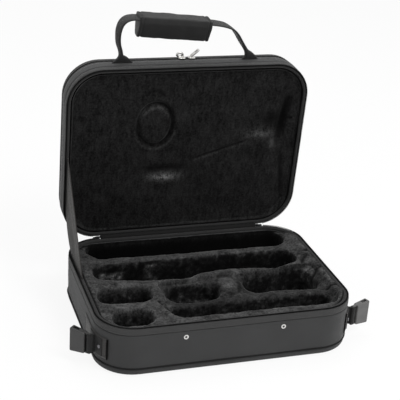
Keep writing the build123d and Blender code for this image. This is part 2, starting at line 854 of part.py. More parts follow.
def pull(frame, name, raised):
    """A slider's pull tab on its cross pin, raised so many degrees from lying flat."""
    turn = radians(raised)
    pin = Plane(
        origin=frame.from_local_coords(Vector(0, 0, slider_plate + pull_pin_height)),
        x_dir=frame.x_dir * cos(turn) + frame.z_dir * sin(turn),
        z_dir=frame.z_dir * cos(turn) - frame.x_dir * sin(turn),
    )
    arm_end = lug_length / 2 + pull_arm_clearance
    with BuildPart() as tab:
        with BuildSketch(pin):
            with Locations((pull_length / 2 - pull_arm_round / 2, 0)):
                RectangleRounded(pull_length + pull_arm_round, pull_width, pull_width / 3)
            with Locations((-pull_arm_round, 0)):
                Rectangle(
                    2 * (arm_end + pull_arm_round),
                    lug_width + 2 * pull_arm_clearance,
                    mode=Mode.SUBTRACT,
                )
            with Locations((pull_length - pull_hole_inset, 0)):
                SlotOverall(pull_hole_length, pull_hole_width, mode=Mode.SUBTRACT)
        extrude(amount=pull_thickness / 2, both=True)
        across = Plane(origin=pin.origin, x_dir=pin.x_dir, z_dir=pin.y_dir)
        with BuildSketch(across):
            Circle(pull_pin_radius)
        extrude(amount=pull_width / 2 - pull_pin_inset, both=True)
    save(tab.part, name)


pocket_slider_height = case_depth - pocket_inset + pocket_coil_height + fit
for side, word, slider_x, raised in (
    (-1, "left", pocket_slider_left_x, pocket_pull_left_raised),
    (1, "right", pocket_slider_right_x, pocket_pull_right_raised),
):
    on_pocket_zip = Plane(
        origin=lid_point(slider_x, pocket_slider_height, pocket_zip),
        x_dir=(side, 0, 0),
        z_dir=lid_up,
    )
    slider(on_pocket_zip, f"pocket_slider_{word}")
    pull(on_pocket_zip, f"pocket_pull_{word}", raised)

main_slider_x = (hinge_width + slider_length) / 2 + fit
main_slider_height = base_height - main_slider_drop
for side, word in ((-1, "left"), (1, "right")):
    on_rear_wall = Plane(
        origin=(side * main_slider_x, half_depth + fit, main_slider_height),
        x_dir=(-side, 0, 0),
        z_dir=(0, 1, 0),
    )
    gap_low = base_height + fit - main_slider_height
    gap_high = slider_width / 2
    slider(on_rear_wall, f"main_slider_{word}", side * gap_low, side * gap_high)
    pull(on_rear_wall, f"main_pull_{word}", main_pull_raised)
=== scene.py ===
"""A zippered clarinet case, standing open: its looks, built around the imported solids.

Everything is in metres, in the case's own frame: +X right, -Y front, +Z up.
"""

import json
from math import copysign, cos, hypot, pi, radians, sin

import bpy
import numpy as np
from mathutils import Matrix, Vector, noise


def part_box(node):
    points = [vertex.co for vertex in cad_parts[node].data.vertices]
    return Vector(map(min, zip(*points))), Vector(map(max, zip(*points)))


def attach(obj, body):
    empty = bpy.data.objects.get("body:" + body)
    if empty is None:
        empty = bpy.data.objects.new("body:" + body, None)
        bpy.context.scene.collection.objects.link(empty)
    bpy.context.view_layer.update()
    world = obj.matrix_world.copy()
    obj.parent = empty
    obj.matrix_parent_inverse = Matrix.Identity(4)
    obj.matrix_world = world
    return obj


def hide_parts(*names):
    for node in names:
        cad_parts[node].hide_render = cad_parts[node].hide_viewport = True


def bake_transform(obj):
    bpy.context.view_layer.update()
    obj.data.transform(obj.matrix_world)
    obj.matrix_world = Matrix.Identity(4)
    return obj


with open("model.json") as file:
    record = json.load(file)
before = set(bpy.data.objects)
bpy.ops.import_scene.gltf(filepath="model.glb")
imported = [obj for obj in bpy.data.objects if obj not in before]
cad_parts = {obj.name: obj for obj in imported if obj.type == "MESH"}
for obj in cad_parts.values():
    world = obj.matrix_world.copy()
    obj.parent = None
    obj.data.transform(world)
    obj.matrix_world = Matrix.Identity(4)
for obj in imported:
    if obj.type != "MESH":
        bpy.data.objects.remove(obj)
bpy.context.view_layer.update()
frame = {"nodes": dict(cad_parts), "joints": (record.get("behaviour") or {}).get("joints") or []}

MM = 0.001

# -------- sizes taken from the frame
joints = {joint["name"]: joint for joint in frame["joints"]}
HALF_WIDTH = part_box("base_shell")[1].x
HALF_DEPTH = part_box("base_shell")[1].y
RIM_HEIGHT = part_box("base_rim_binding")[1].z
HINGE = Vector(joints["lid_hinge"]["pos_m"])
PIPING_HEIGHT = (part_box("base_piping")[0].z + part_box("base_piping")[1].z) / 2
HINGE_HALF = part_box("hinge_panel")[1].x
TRAY_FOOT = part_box("tray_insert")[0].z

# -------- sizes of the case's build
CORNER = 50 * MM
TAPE_HEIGHT = 9.5 * MM
TAPE_THICKNESS = 1.6 * MM
BASE_WALL = 7 * MM
BASE_FLOOR = 6 * MM
BASE_EDGE = 5 * MM
LID_DEPTH = 27 * MM
LID_WALL = 6 * MM
LID_BACK = 5 * MM
# The main zip's coils: from, to and how high they stand, and how far from the hinge they end.
COIL_FROM, COIL_TO = -2.3 * MM, -0.1 * MM
COIL_RISE = 1.9 * MM
COIL_SETBACK = 10 * MM
BINDING_HEIGHT = 3 * MM
SEAT = 0.2 * MM
LEAN = radians(5.1)
POCKET_INSET = 1.6 * MM
POCKET_DEPTH = 11 * MM
POCKET_PANEL = 4 * MM
POCKET_ZIP = LID_DEPTH + 5 * MM
POCKET_ZIP_DROP = 96 * MM
HANDLE_FROM_RIM = 21 * MM

LID_OUT = Vector((0, cos(LEAN), sin(LEAN)))
LID_UP = Vector((0, -sin(LEAN), cos(LEAN)))
LID_ORIGIN = HINGE + LID_UP * HALF_DEPTH + LID_OUT * (HINGE.z - RIM_HEIGHT)

# Places: the base's own axes, and the lid's, whose z runs outwards from its rim.
BASE = Matrix.Identity(4)
LID = Matrix.Translation(LID_ORIGIN) @ Matrix((
    (1, 0, 0, 0),
    (0, -LID_UP.y, LID_OUT.y, 0),
    (0, -LID_UP.z, LID_OUT.z, 0),
    (0, 0, 0, 1),
))


def lid_point(x, up, out):
    """A point of the open lid: up from its hinge edge, out from its rim."""
    return LID @ Vector((x, HALF_DEPTH - up, out))


# ======== materials
def new_material(name, roughness, metallic=0.0, sheen=0.0, specular=0.5):
    """A Principled material with its plain values set, and its node tree."""
    material = bpy.data.materials.new(name)
    material.use_nodes = True
    shader = material.node_tree.nodes["Principled BSDF"]
    for key, value in (("Roughness", roughness), ("Metallic", metallic), ("Sheen Weight", sheen),
                       ("Sheen Roughness", 0.45), ("Specular IOR Level", specular)):
        shader.inputs[key].default_value = value
    return material, material.node_tree, shader


def add_node(tree, kind, inputs=None, **settings):
    """A node with its settings; its inputs take plain values, or other nodes' outputs."""
    node = tree.nodes.new("ShaderNode" + kind)
    for key, value in settings.items():
        setattr(node, key, value)
    for key, value in (inputs or {}).items():
        if isinstance(value, bpy.types.NodeSocket):
            tree.links.new(value, node.inputs[key])
        else:
            node.inputs[key].default_value = value
    return node


def math_node(tree, operation, *values):
    return add_node(tree, "Math", dict(enumerate(values)), operation=operation).outputs[0]


def weighed(tree, *parts):
    """The sum of (value, weight) pairs."""
    total = None
    for value, weight in parts:
        part = math_node(tree, "MULTIPLY", value, weight)
        total = part if total is None else math_node(tree, "ADD", total, part)
    return total


def noise_node(tree, vector, scale, detail=3.0, roughness=0.55, stretch=None):
    """Noise of so many features a metre, stretched along the axes if asked."""
    if stretch:
        vector = add_node(tree, "Mapping", {"Scale": stretch, "Vector": vector}).outputs[0]
    return add_node(tree, "TexNoise", {"Scale": scale, "Detail": detail, "Roughness": roughness,
                                       "Vector": vector}).outputs["Fac"]


def ramp_node(tree, value, *stops):
    """A colour ramp: stops are (place, colour)."""
    node = add_node(tree, "ValToRGB", {"Fac": value})
    elements = node.color_ramp.elements
    while len(elements) < len(stops):
        elements.new(0.5)
    for element, (place, color) in zip(elements, stops):
        element.position = place
        element.color = (*color, 1)
    return node.outputs["Color"]


def bump_node(tree, shader, height, distance, strength=1.0):
    node = add_node(tree, "Bump", {"Strength": strength, "Distance": distance, "Height": height})
    tree.links.new(node.outputs["Normal"], shader.inputs["Normal"])


def surface_vector(tree):
    """Coordinates along the surface, in metres, where a piece has them."""
    return add_node(tree, "Attribute", attribute_name="along").outputs["Vector"]


def object_vector(tree):
    return add_node(tree, "TexCoord").outputs["Object"]


def gray(level, warmth=0.0):
    """A linear gray; warmth moves it from bluish to brownish."""
    return (level * (1 + warmth), level, level * (1 - warmth))


def mixed(color, factor):
    return tuple(min(1.0, channel * factor) for channel in color)


def woven(name, color, pitch, roughness=0.75, sheen=0.15, depth=0.12 * MM, specular=0.25,
          twill=False, contrast=0.25, upright=False):
    """Woven cloth: over-and-under threads at a pitch, worn and uneven in tone.

    An upright cloth takes its threads from the object's own height and plan.
    """
    material, tree, shader = new_material(name, roughness, sheen=sheen, specular=specular)
    vector = object_vector(tree) if upright else surface_vector(tree)
    along, across, height = add_node(tree, "SeparateXYZ", {0: vector}).outputs
    if upright:
        along, across = math_node(tree, "ADD", along, across), height
    if twill:
        along = math_node(tree, "ADD", along, across)
    warp = math_node(tree, "SINE", math_node(tree, "MULTIPLY", along, 2 * pi / pitch))
    weft = math_node(tree, "SINE", math_node(tree, "MULTIPLY", across, 2 * pi / pitch))
    threads = math_node(tree, "MULTIPLY", warp, weft)
    threads = math_node(tree, "MULTIPLY_ADD", threads, 0.5, 0.5)
    where = object_vector(tree)
    grain = noise_node(tree, where, 1.4 / pitch, detail=2)
    patches = noise_node(tree, where, 22, detail=4)
    tone = weighed(tree, (threads, 0.3), (grain, 0.35), (patches, 0.35))
    shade = ramp_node(tree, tone, (0.25, mixed(color, 1 - contrast)),
                      (0.5, color), (0.75, mixed(color, 1 + contrast)))
    tree.links.new(shade, shader.inputs["Base Color"])
    height = math_node(tree, "ADD", threads, math_node(tree, "MULTIPLY", grain, 0.8))
    bump_node(tree, shader, height, depth)
    return material


def plush(name, low, high, sheen, pile=900, streak=(1.0, 1.0, 0.35), depth=0.5 * MM):
    """Short pile: dark at its roots, lit on its tips, brushed in patches, with light and shade
    painted into its colour point by point.
    """
    material, tree, shader = new_material(name, 0.95, sheen=sheen, specular=0.08)
    shader.inputs["Sheen Roughness"].default_value = 0.35
    where = object_vector(tree)
    tips = noise_node(tree, where, pile, detail=2, roughness=0.75)
    tufts = noise_node(tree, where, 210, detail=3, roughness=0.7, stretch=streak)
    brushed = noise_node(tree, where, 34, detail=3, roughness=0.6)
    tone = weighed(tree, (tips, 0.45), (tufts, 0.35), (brushed, 0.2))
    shade = ramp_node(tree, tone, (0.4, low), (0.62, high))
    # Painted light and shade: each unit of a point's painted value, up or down, makes the pile four
    # times lighter or darker.
    rub = add_node(tree, "Attribute", attribute_name="rub").outputs["Fac"]
    scale = math_node(tree, "POWER", 4.0, rub)
    rubbed = add_node(tree, "VectorMath", {0: shade, "Scale": scale}, operation="SCALE")
    tree.links.new(rubbed.outputs[0], shader.inputs["Base Color"])
    height = math_node(tree, "ADD", math_node(tree, "MULTIPLY", tips, 0.5), tufts)
    bump_node(tree, shader, height, depth, strength=0.9)
    return material


def handled(tree, shader, scale, detail, darker, lighter, roughness, spread):
    """Uneven tone and roughness, as wear leaves them."""
    worn = noise_node(tree, object_vector(tree), scale, detail=detail)
    shade = ramp_node(tree, worn, (0.3, darker), (0.7, lighter))
    tree.links.new(shade, shader.inputs["Base Color"])
    rough = math_node(tree, "MULTIPLY_ADD", worn, spread, roughness)
    tree.links.new(rough, shader.inputs["Roughness"])


def moulded(name, color, roughness, specular=0.5, grain=1800, depth=0.03 * MM):
    """Moulded plastic: fine spark-eroded grain, handled in patches."""
    material, tree, shader = new_material(name, roughness, specular=specular)
    handled(tree, shader, 90, 4, mixed(color, 0.82), mixed(color, 1.18), roughness - 0.12, 0.25)
    bump_node(tree, shader, noise_node(tree, object_vector(tree), grain, detail=2), depth)
    return material


def plated(name, color, roughness, pits=0.02 * MM):
    """Plated metal: bright, finely brushed, worn duller in patches."""
    material, tree, shader = new_material(name, roughness, metallic=1.0)
    handled(tree, shader, 220, 3, mixed(color, 0.8), color, roughness - 0.1, 0.3)
    brushed = noise_node(tree, object_vector(tree), 1500, detail=2, stretch=(0.2, 1, 1))
    bump_node(tree, shader, brushed, pits)
    return material


NYLON = woven("ballistic_nylon", gray(0.037, -0.01), 0.9 * MM)
POCKET_CLOTH = woven("pocket_nylon", gray(0.03), 0.9 * MM)
TAPE = woven("zip_tape", gray(0.04), 0.7 * MM, roughness=0.8, twill=True, contrast=0.18)
BINDING = woven("rim_binding", gray(0.012), 0.6 * MM, roughness=0.8, sheen=0.06, specular=0.1)
RIM_CLOTH = woven("rim_cloth", gray(0.026), 0.6 * MM, roughness=0.8, sheen=0.08, specular=0.15)
WEBBING = woven("webbing", gray(0.012), 1.6 * MM, roughness=0.6, sheen=0.15, depth=0.3 * MM,
                twill=True)
TAB_WEBBING = woven("tab_webbing", gray(0.010), 1.6 * MM, roughness=0.65, sheen=0.1,
                    depth=0.3 * MM, upright=True)
PATCH_CLOTH = woven("patch_nylon", gray(0.034, 0.05), 0.7 * MM, roughness=0.55)
# A near-black strip: painted shadow of the gap along the patches' front edges.
SHADOW_STRIP = woven("painted_shadow_strip", gray(0.002), 0.5 * MM, roughness=0.8, sheen=0.0, specular=0.05)
GRIP_CLOTH = woven("grip_nylon", gray(0.008), 0.8 * MM, roughness=0.55, sheen=0.12)
STAY_CLOTH = woven("stay_nylon", gray(0.027, 0.07), 0.6 * MM, roughness=0.7, sheen=0.15)
THREAD = woven("sewing_thread", gray(0.02), 0.5 * MM, roughness=0.6)
PLUSH = plush("tray_plush", gray(0.006), gray(0.05), 0.22, pile=420)
LINING = plush("lining_plush", gray(0.002), gray(0.019), 0.1, pile=420)
COIL = moulded("coil_nylon", gray(0.003), 0.6, specular=0.08)
BUCKLE = moulded("acetal", gray(0.10, 0.01), 0.5)
# The same acetal painted darker for the left buckle, as the shade it stands in.
SHADE_PAINTED_BUCKLE = moulded("acetal_painted_shade", gray(0.03, 0.01), 0.4)
NICKEL = plated("nickel", (0.78, 0.77, 0.75), 0.24)
GUNMETAL = plated("black_nickel", (0.2, 0.2, 0.21), 0.32)


# ======== mesh helpers
def linked(name, data):
    """A new object with that data, in the scene."""
    piece = bpy.data.objects.new(name, data)
    bpy.context.scene.collection.objects.link(piece)
    return piece


def make_piece(name, vertices, faces, material, place=None, smooth=True, along=None):
    """A mesh object from local points, moved to its place, with a material."""
    mesh = bpy.data.meshes.new(name)
    mesh.from_pydata([tuple(v) for v in vertices], [], faces)
    if along is not None:
        layer = mesh.attributes.new("along", "FLOAT_VECTOR", "POINT")
        layer.data.foreach_set("vector", np.asarray(along, np.float32).ravel())
    if place is not None:
        mesh.transform(place)
    mesh.validate()
    for polygon in mesh.polygons:
        polygon.use_smooth = smooth
    mesh.materials.append(material)
    return linked(name, mesh)


def points_of(piece):
    array = np.empty(len(piece.data.vertices) * 3)
    piece.data.vertices.foreach_get("co", array)
    return array.reshape(-1, 3)


def normals_of(piece):
    array = np.empty(len(piece.data.vertices) * 3, np.float32)
    piece.data.vertex_normals.foreach_get("vector", array)
    return array.reshape(-1, 3).astype(float)


def set_points(piece, array):
    piece.data.vertices.foreach_set("co", np.asarray(array, float).ravel())
    piece.data.update()


def cloud(points, size, seed, octaves=2):
    """Smooth noise at each point, about -1 to 1, with features of that size."""
    shift = Vector((seed * 3.7, seed * 1.3, seed * 7.1))
    values = np.empty(len(points))
    for i, point in enumerate(points):
        where = Vector(point) / size + shift
        values[i] = noise.fractal(where, 0.6, 2.0, octaves)
    return values


def modify(piece, kind, **settings):
    """Adds a modifier and applies it."""
    modifier = piece.modifiers.new(kind.lower(), kind)
    for key, value in settings.items():
        setattr(modifier, key, value)
    bpy.context.view_layer.objects.active = piece
    piece.select_set(True)
    bpy.ops.object.modifier_apply(modifier=modifier.name)
    piece.select_set(False)
    return piece


def copy_node(node, name, material):
    """A new piece with a copy of a CAD node's mesh."""
    mesh = frame["nodes"][node].data.copy()
    mesh.name = name
    mesh.materials.clear()
    mesh.materials.append(material)
    return linked(name, mesh)


def remeshed(node, name, material, voxel, smoothing):
    """A CAD node's shape as one fine, evenly faced soft skin."""
    piece = copy_node(node, name, material)
    modify(piece, "WELD", merge_threshold=0.02 * MM)
    modify(piece, "REMESH", mode="VOXEL", voxel_size=voxel, use_smooth_shade=True)
    modify(piece, "SMOOTH", factor=0.5, iterations=smoothing)
    return piece


def smooth_step(values, low, high):
    share = np.clip((values - low) / (high - low), 0, 1)
    return share * share * (3 - 2 * share)


def fall(values, low, high):
    return 1 - smooth_step(values, low, high)


def window(values, a, b, c, d):
    """Rises from 0 to 1 between a and b, and falls back between c and d."""
    return smooth_step(values, a, b) * fall(values, c, d)


def hump(values, centre, width):
    return np.exp(-(((values - centre) / width) ** 2))


def crease(points, start, end, width):
    """How near each point of a plan lies to a line, from 0 to 1."""
    start, end = np.asarray(start, float), np.asarray(end, float)
    run = end - start
    share = np.clip(((points - start) @ run) / (run @ run), 0, 1)
    gap = np.linalg.norm(points - start - share[:, None] * run, axis=1)
    return hump(gap, 0, width) * np.sin(pi * np.clip(share, 0.02, 0.98)) ** 0.5


def swept(name, rows, material, closed_rows=False, along=None, caps=False, loop=False,
          lids=False, place=None):
    """A skin over rows of points, each row as long as the first.

    Caps close the first and the last row; lids join up all rows' first points, and their last.
    """
    count = len(rows[0])
    vertices = [point for row in rows for point in row]
    faces = []
    for i in range(len(rows) if loop else len(rows) - 1):
        a, b = i * count, (i + 1) % len(rows) * count
        for j in range(count if closed_rows else count - 1):
            k = (j + 1) % count
            faces.append((a + j, b + j, b + k, a + k))
    if caps:
        faces.append(tuple(range(count)))
        faces.append(tuple(reversed(range((len(rows) - 1) * count, len(rows) * count))))
    if lids:
        faces.append(tuple(reversed(range(0, len(vertices), count))))
        faces.append(tuple(range(count - 1, len(vertices), count)))
    piece = make_piece(name, vertices, faces, material, place, along=along)
    for polygon in list(piece.data.polygons)[-2:] if lids else ():
        polygon.use_smooth = False
    return piece


# A small tube's six corners round it, and its five rings along it.
SIXTHS = [2 * pi * corner / 6 for corner in range(6)]
TUBE_SHARES = (0, 0.25, 0.5, 0.75, 1)


def rubbed_by(piece, values):
    """Paints light and shade into the pile: a value above 0 is a painted highlight, below 0 painted
    shade.
    """
    layer = piece.data.attributes.new("rub", "FLOAT", "POINT")
    layer.data.foreach_set("value", np.asarray(values, np.float32))


def stated(piece, body, slot, *nodes):
    """Attaches a piece to the body it rides on and hides the CAD nodes it stands for. The slot, its
    finish, is not used.
    """
    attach(piece, body)
    if nodes:
        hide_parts(*nodes)
    return piece


# ======== bands round the case
STRAIGHT_X = HALF_WIDTH - CORNER
STRAIGHT_Y = HALF_DEPTH - CORNER
ARC = CORNER * pi / 2
GIRTH = 4 * (STRAIGHT_X + STRAIGHT_Y) + 4 * ARC


# The outline's runs, from the middle of the rear side towards the left side: its kind, where
# it starts or what it turns about, which way it heads, and its length.
OUTLINE = (
    ("line", (0, HALF_DEPTH), (-1, 0), STRAIGHT_X),
    ("arc", (-STRAIGHT_X, STRAIGHT_Y), pi / 2, ARC),
    ("line", (-HALF_WIDTH, STRAIGHT_Y), (0, -1), 2 * STRAIGHT_Y),
    ("arc", (-STRAIGHT_X, -STRAIGHT_Y), pi, ARC),
    ("line", (-STRAIGHT_X, -HALF_DEPTH), (1, 0), 2 * STRAIGHT_X),
    ("arc", (STRAIGHT_X, -STRAIGHT_Y), 3 * pi / 2, ARC),
    ("line", (HALF_WIDTH, -STRAIGHT_Y), (0, 1), 2 * STRAIGHT_Y),
    ("arc", (STRAIGHT_X, STRAIGHT_Y), 0, ARC),
    ("line", (STRAIGHT_X, HALF_DEPTH), (-1, 0), STRAIGHT_X),
)


def outline_at(distance):
    """A point of the case's outline and its outward direction."""
    left = distance % GIRTH
    for kind, at, heading, length in OUTLINE:
        if left <= length + 1e-9:
            break
        left -= length
    if kind == "arc":
        angle = heading + left / CORNER
        out = Vector((cos(angle), sin(angle)))
        return Vector(at) + out * CORNER, out
    way = Vector(heading)
    return Vector(at) + way * left, Vector((way.y, -way.x))


def stations(start=0.0, end=None, straight_step=6 * MM, arc_steps=14):
    """Distances along the outline, closer together round the corners."""
    end = GIRTH if end is None else end
    marks, here = [], 0.0
    for kind, _, _, length in OUTLINE:
        steps = arc_steps if kind == "arc" else max(1, round(length / straight_step))
        marks += [here + length * i / steps for i in range(steps)]
        here += length
    inner = [mark for mark in marks if start + 1e-6 < mark < end - 1e-6]
    return [start] + inner + [end]


def smooth_profile(corners, step=0.6 * MM):
    """A profile's corner points with points added along its longer runs."""
    points = [corners[0]]
    for (x0, z0), (x1, z1) in zip(corners, corners[1:]):
        steps = max(1, min(24, round(hypot(x1 - x0, z1 - z0) / step)))
        for i in range(1, steps + 1):
            points.append((x0 + (x1 - x0) * i / steps, z0 + (z1 - z0) * i / steps))
    return points


def rounded(centre, radius, start, end, steps=6):
    """Points of an arc, with angles in degrees."""
    angles = [radians(start + (end - start) * i / steps) for i in range(steps + 1)]
    return [(centre[0] + radius * cos(a), centre[1] + radius * sin(a)) for a in angles]


def band(name, place, profile, material, start=0.0, end=None, closed=True, push=None, lids=False):
    """A profile of (out, height) points carried round the case's outline.

    push(distance, out, height) may move each point further out.
    """
    whole = end is None
    marks = stations(start, end)[:-1] if whole else stations(start, end)
    lengths = [0.0]
    for (x0, z0), (x1, z1) in zip(profile, profile[1:]):
        lengths.append(lengths[-1] + hypot(x1 - x0, z1 - z0))
    rows, along = [], []
    for mark in marks:
        at, way = outline_at(mark)
        row = []
        for (out, height), length in zip(profile, lengths):
            point = at + way * (out + (push(mark, out, height) if push else 0.0))
            row.append((point.x, point.y, height))
            along.append((mark, length, 0))
        rows.append(row)
    return swept(name, rows, material, closed, along, closed and not whole, whole, lids, place)


def wobble(size, height_size, amount, seed):
    """A push that makes cloth swell and dip a little."""
    def push(mark, out, height):
        angle = 2 * pi * mark / GIRTH
        radius = GIRTH / (2 * pi)
        where = Vector((radius * cos(angle), radius * sin(angle), height * size / height_size))
        return amount * noise.fractal(where / size + Vector((seed, seed, seed)), 0.6, 2.0, 3)
    return push


def add_tube(vertices, faces, rings):
    """Adds a closed skin over rings of six points."""
    first = len(vertices)
    for ring in rings:
        vertices.extend(ring)
    for a in range(first, len(vertices) - 6, 6):
        for j in range(6):
            k = (j + 1) % 6
            faces.append((a + j, a + k, a + 6 + k, a + 6 + j))
    faces.append(tuple(range(first + 5, first - 1, -1)))
    faces.append(tuple(range(len(vertices) - 6, len(vertices))))


def walk(path, ups):
    """A path's length, and what gives the point and the direction at a distance along it."""
    reach = [0.0]
    for a, b in zip(path, path[1:]):
        reach.append(reach[-1] + (b - a).length)

    def sample(distance):
        i = max(0, min(len(path) - 2, int(np.searchsorted(reach, distance)) - 1))
        share = (distance - reach[i]) / max(1e-9, reach[i + 1] - reach[i])
        return path[i].lerp(path[i + 1], share), ups[i].lerp(ups[i + 1], share).normalized()
    return reach[-1], sample


def stitches(name, path, ups, length=2.4 * MM, gap=1.1 * MM, thick=0.28 * MM):
    """A row of stitches along a path, each a thread that dips at both ends."""
    total, sample = walk(path, [up.normalized() for up in ups])
    vertices, faces = [], []
    here = gap
    while here + length < total:
        rings = []
        for share in TUBE_SHARES:
            point, up = sample(here + length * share)
            ahead, _ = sample(here + length * share + 0.1 * MM)
            side = (ahead - point).normalized().cross(up).normalized()
            rise = sin(pi * share)
            radius = thick * (0.35 + 0.65 * rise)
            centre = point + up * (thick * (1.1 * rise - 0.5))
            rings.append([centre + side * radius * cos(a) + up * radius * sin(a) for a in SIXTHS])
        add_tube(vertices, faces, rings)
        here += length + gap
    return make_piece(name, vertices, faces, THREAD)


def zip_teeth(name, place, out_from, out_to, low, high, start, end, pitch=1.7 * MM):
    """A row of coil: one bent loop of nylon for each tooth."""
    vertices, faces = [], []
    for tooth in range(int((end - start) / pitch)):
        at, way = outline_at(start + (tooth + 0.5) * pitch)
        ahead = Vector((-way.y, way.x))
        rings = []
        for share in TUBE_SHARES:
            swell = 0.55 + 0.45 * sin(pi * share) ** 0.5
            middle = at + way * (out_from + (out_to - out_from) * share)
            ring = []
            for a in SIXTHS:
                point = middle + ahead * ((share - 0.5) * 0.35 + 0.36 * swell * cos(a)) * pitch
                ring.append((point.x, point.y, (low + high + (high - low) * swell * sin(a)) / 2))
            rings.append(ring)
        add_tube(vertices, faces, rings)
    return make_piece(name, vertices, faces, COIL, place)


# ======== base: shell, piping, zip
BASE_SEAM = RIM_HEIGHT - TAPE_HEIGHT
CAP_INSET = 30 * MM


def swell_between(low, high, push):
    """Limits a push to the stretch of wall between two heights, fading at both."""
    def limited(mark, out, height):
        share = (height - low) / (high - low)
        if not 0 < share < 1 or out < -1 * MM:
            return 0.0
        return push(mark, out, height) * sin(pi * share) ** 0.5
    return limited


base_profile = smooth_profile(
    [(-CAP_INSET, 0), (-BASE_EDGE, 0)]
    + rounded((-BASE_EDGE, BASE_EDGE), BASE_EDGE, -90, 0)[1:]
    + [(0.25 * MM, BASE_SEAM - 1.6 * MM), (-0.3 * MM, BASE_SEAM - 0.5 * MM),
       (-TAPE_THICKNESS - SEAT, BASE_SEAM - 0.2 * MM),
       (-TAPE_THICKNESS - SEAT, RIM_HEIGHT - BINDING_HEIGHT - SEAT),
       (-BASE_WALL, RIM_HEIGHT - BINDING_HEIGHT - SEAT),
       (-BASE_WALL, BASE_FLOOR), (-CAP_INSET, BASE_FLOOR)],
    step=2.5 * MM,
)
stated(band(
    "base_cover", BASE, base_profile, NYLON, closed=False, lids=True,
    push=swell_between(BASE_EDGE, BASE_SEAM, wobble(70 * MM, 55 * MM, 0.7 * MM, 3)),
), "base", "nylon", "base_shell")

piping_profile = rounded((0.1 * MM, PIPING_HEIGHT), 1.3 * MM, -180, 144, steps=9)
stated(band("base_piping_cord", BASE, piping_profile, BINDING), "base", "piping", "base_piping")


def tape_profile(low, high):
    """A zip tape's section, from its sewn edge at low to its coil edge at high."""
    way = 1 if high > low else -1
    points = [
        (-TAPE_THICKNESS, low + 0.3 * MM * way), (-0.5 * MM, low + 0.3 * MM * way),
        (0.15 * MM, low + 0.9 * MM * way), (0.3 * MM, low + 2.6 * MM * way),
        (0.1 * MM, low + 4 * MM * way), (0.3 * MM, high - 3.2 * MM * way),
        (0.15 * MM, high - 1.2 * MM * way), (-0.35 * MM, high - 0.15 * MM * way),
        (-TAPE_THICKNESS, high),
    ]
    return points if way > 0 else list(reversed(points))


def binding_profile(wall, rim, way):
    """A bound rim's section; way is 1 where the rim looks up and -1 where it looks down."""
    points = [
        (-wall, rim - 3 * MM * way), (-TAPE_THICKNESS - SEAT, rim - 3 * MM * way),
        (-1.9 * MM, rim - 0.6 * MM * way), (-2.6 * MM, rim + 0.1 * MM * way),
        (-3.4 * MM, rim + 0.35 * MM * way), (-wall + 1.7 * MM, rim + 0.25 * MM * way),
        (-wall + 0.5 * MM, rim - 0.4 * MM * way), (-wall, rim - 1.4 * MM * way),
    ]
    return points if way > 0 else list(reversed(points))


TAPE_START, TAPE_END = HINGE_HALF + 0.3 * MM, GIRTH - HINGE_HALF - 0.3 * MM
tape_wave = wobble(40 * MM, 30 * MM, 0.35 * MM, 9)
for body, place, low, high in (("base", BASE, BASE_SEAM, RIM_HEIGHT), ("lid", LID, TAPE_HEIGHT, 0)):
    tape = band(f"{body}_tape", place, tape_profile(low, high), TAPE, TAPE_START, TAPE_END,
                push=tape_wave)
    stated(tape, body, "tape", f"{body}_zip_tape")
for body, place, foot in (("base", BASE, RIM_HEIGHT), ("lid", LID, -COIL_RISE)):
    coil = zip_teeth(f"{body}_coil", place, COIL_FROM, COIL_TO, foot, foot + COIL_RISE,
                     TAPE_START + COIL_SETBACK, TAPE_END - COIL_SETBACK)
    stated(coil, body, "coil", f"{body}_zip_coil")
for body, place, profile in (("base", BASE, binding_profile(BASE_WALL, RIM_HEIGHT, 1)),
                             ("lid", LID, binding_profile(LID_WALL, 0, -1))):
    binding = band(f"{body}_binding", place, profile, RIM_CLOTH)
    stated(binding, body, "piping", f"{body}_rim_binding")

# ======== lid: shell, pocket
lid_profile = smooth_profile(
    [(-CAP_INSET, LID_DEPTH - LID_BACK), (-LID_WALL, LID_DEPTH - LID_BACK),
     (-LID_WALL, BINDING_HEIGHT + SEAT), (-TAPE_THICKNESS - SEAT, BINDING_HEIGHT + SEAT),
     (-TAPE_THICKNESS - SEAT, TAPE_HEIGHT + 0.2 * MM), (-0.3 * MM, TAPE_HEIGHT + 0.5 * MM),
     (0.25 * MM, TAPE_HEIGHT + 1.6 * MM), (0.1 * MM, LID_DEPTH - 3 * MM)]
    + rounded((-3 * MM, LID_DEPTH - 3 * MM), 3 * MM, 0, 90)
    + [(-CAP_INSET, LID_DEPTH)],
    step=2.5 * MM,
)
stated(band(
    "lid_cover", LID, lid_profile, NYLON, closed=False, lids=True,
    push=swell_between(TAPE_HEIGHT, LID_DEPTH, wobble(60 * MM, 40 * MM, 0.5 * MM, 21)),
), "lid", "nylon", "lid_shell")

POCKET_LOW = LID_DEPTH + SEAT
POCKET_HIGH = POCKET_LOW + POCKET_DEPTH
gusset_profile = smooth_profile(
    [(-POCKET_INSET - 2 * MM, POCKET_LOW), (-POCKET_INSET - 0.8 * MM, POCKET_LOW),
     (-POCKET_INSET, POCKET_LOW + 0.8 * MM), (-POCKET_INSET + 0.1 * MM, POCKET_ZIP - 1.3 * MM),
     (-POCKET_INSET - 0.9 * MM, POCKET_ZIP - 0.8 * MM),
     (-POCKET_INSET - 0.9 * MM, POCKET_ZIP + 0.8 * MM),
     (-POCKET_INSET + 0.1 * MM, POCKET_ZIP + 1.3 * MM),
     (-POCKET_INSET + 0.3 * MM, POCKET_HIGH - 0.6 * MM),
     (-POCKET_INSET - 0.8 * MM, POCKET_HIGH), (-POCKET_INSET - 2 * MM, POCKET_HIGH)],
    step=1.5 * MM,
)
gusset = band("pocket_side", LID, gusset_profile, POCKET_CLOTH,
              push=wobble(50 * MM, 30 * MM, 0.4 * MM, 31))
stated(gusset, "lid", "nylon", "pocket_gusset")

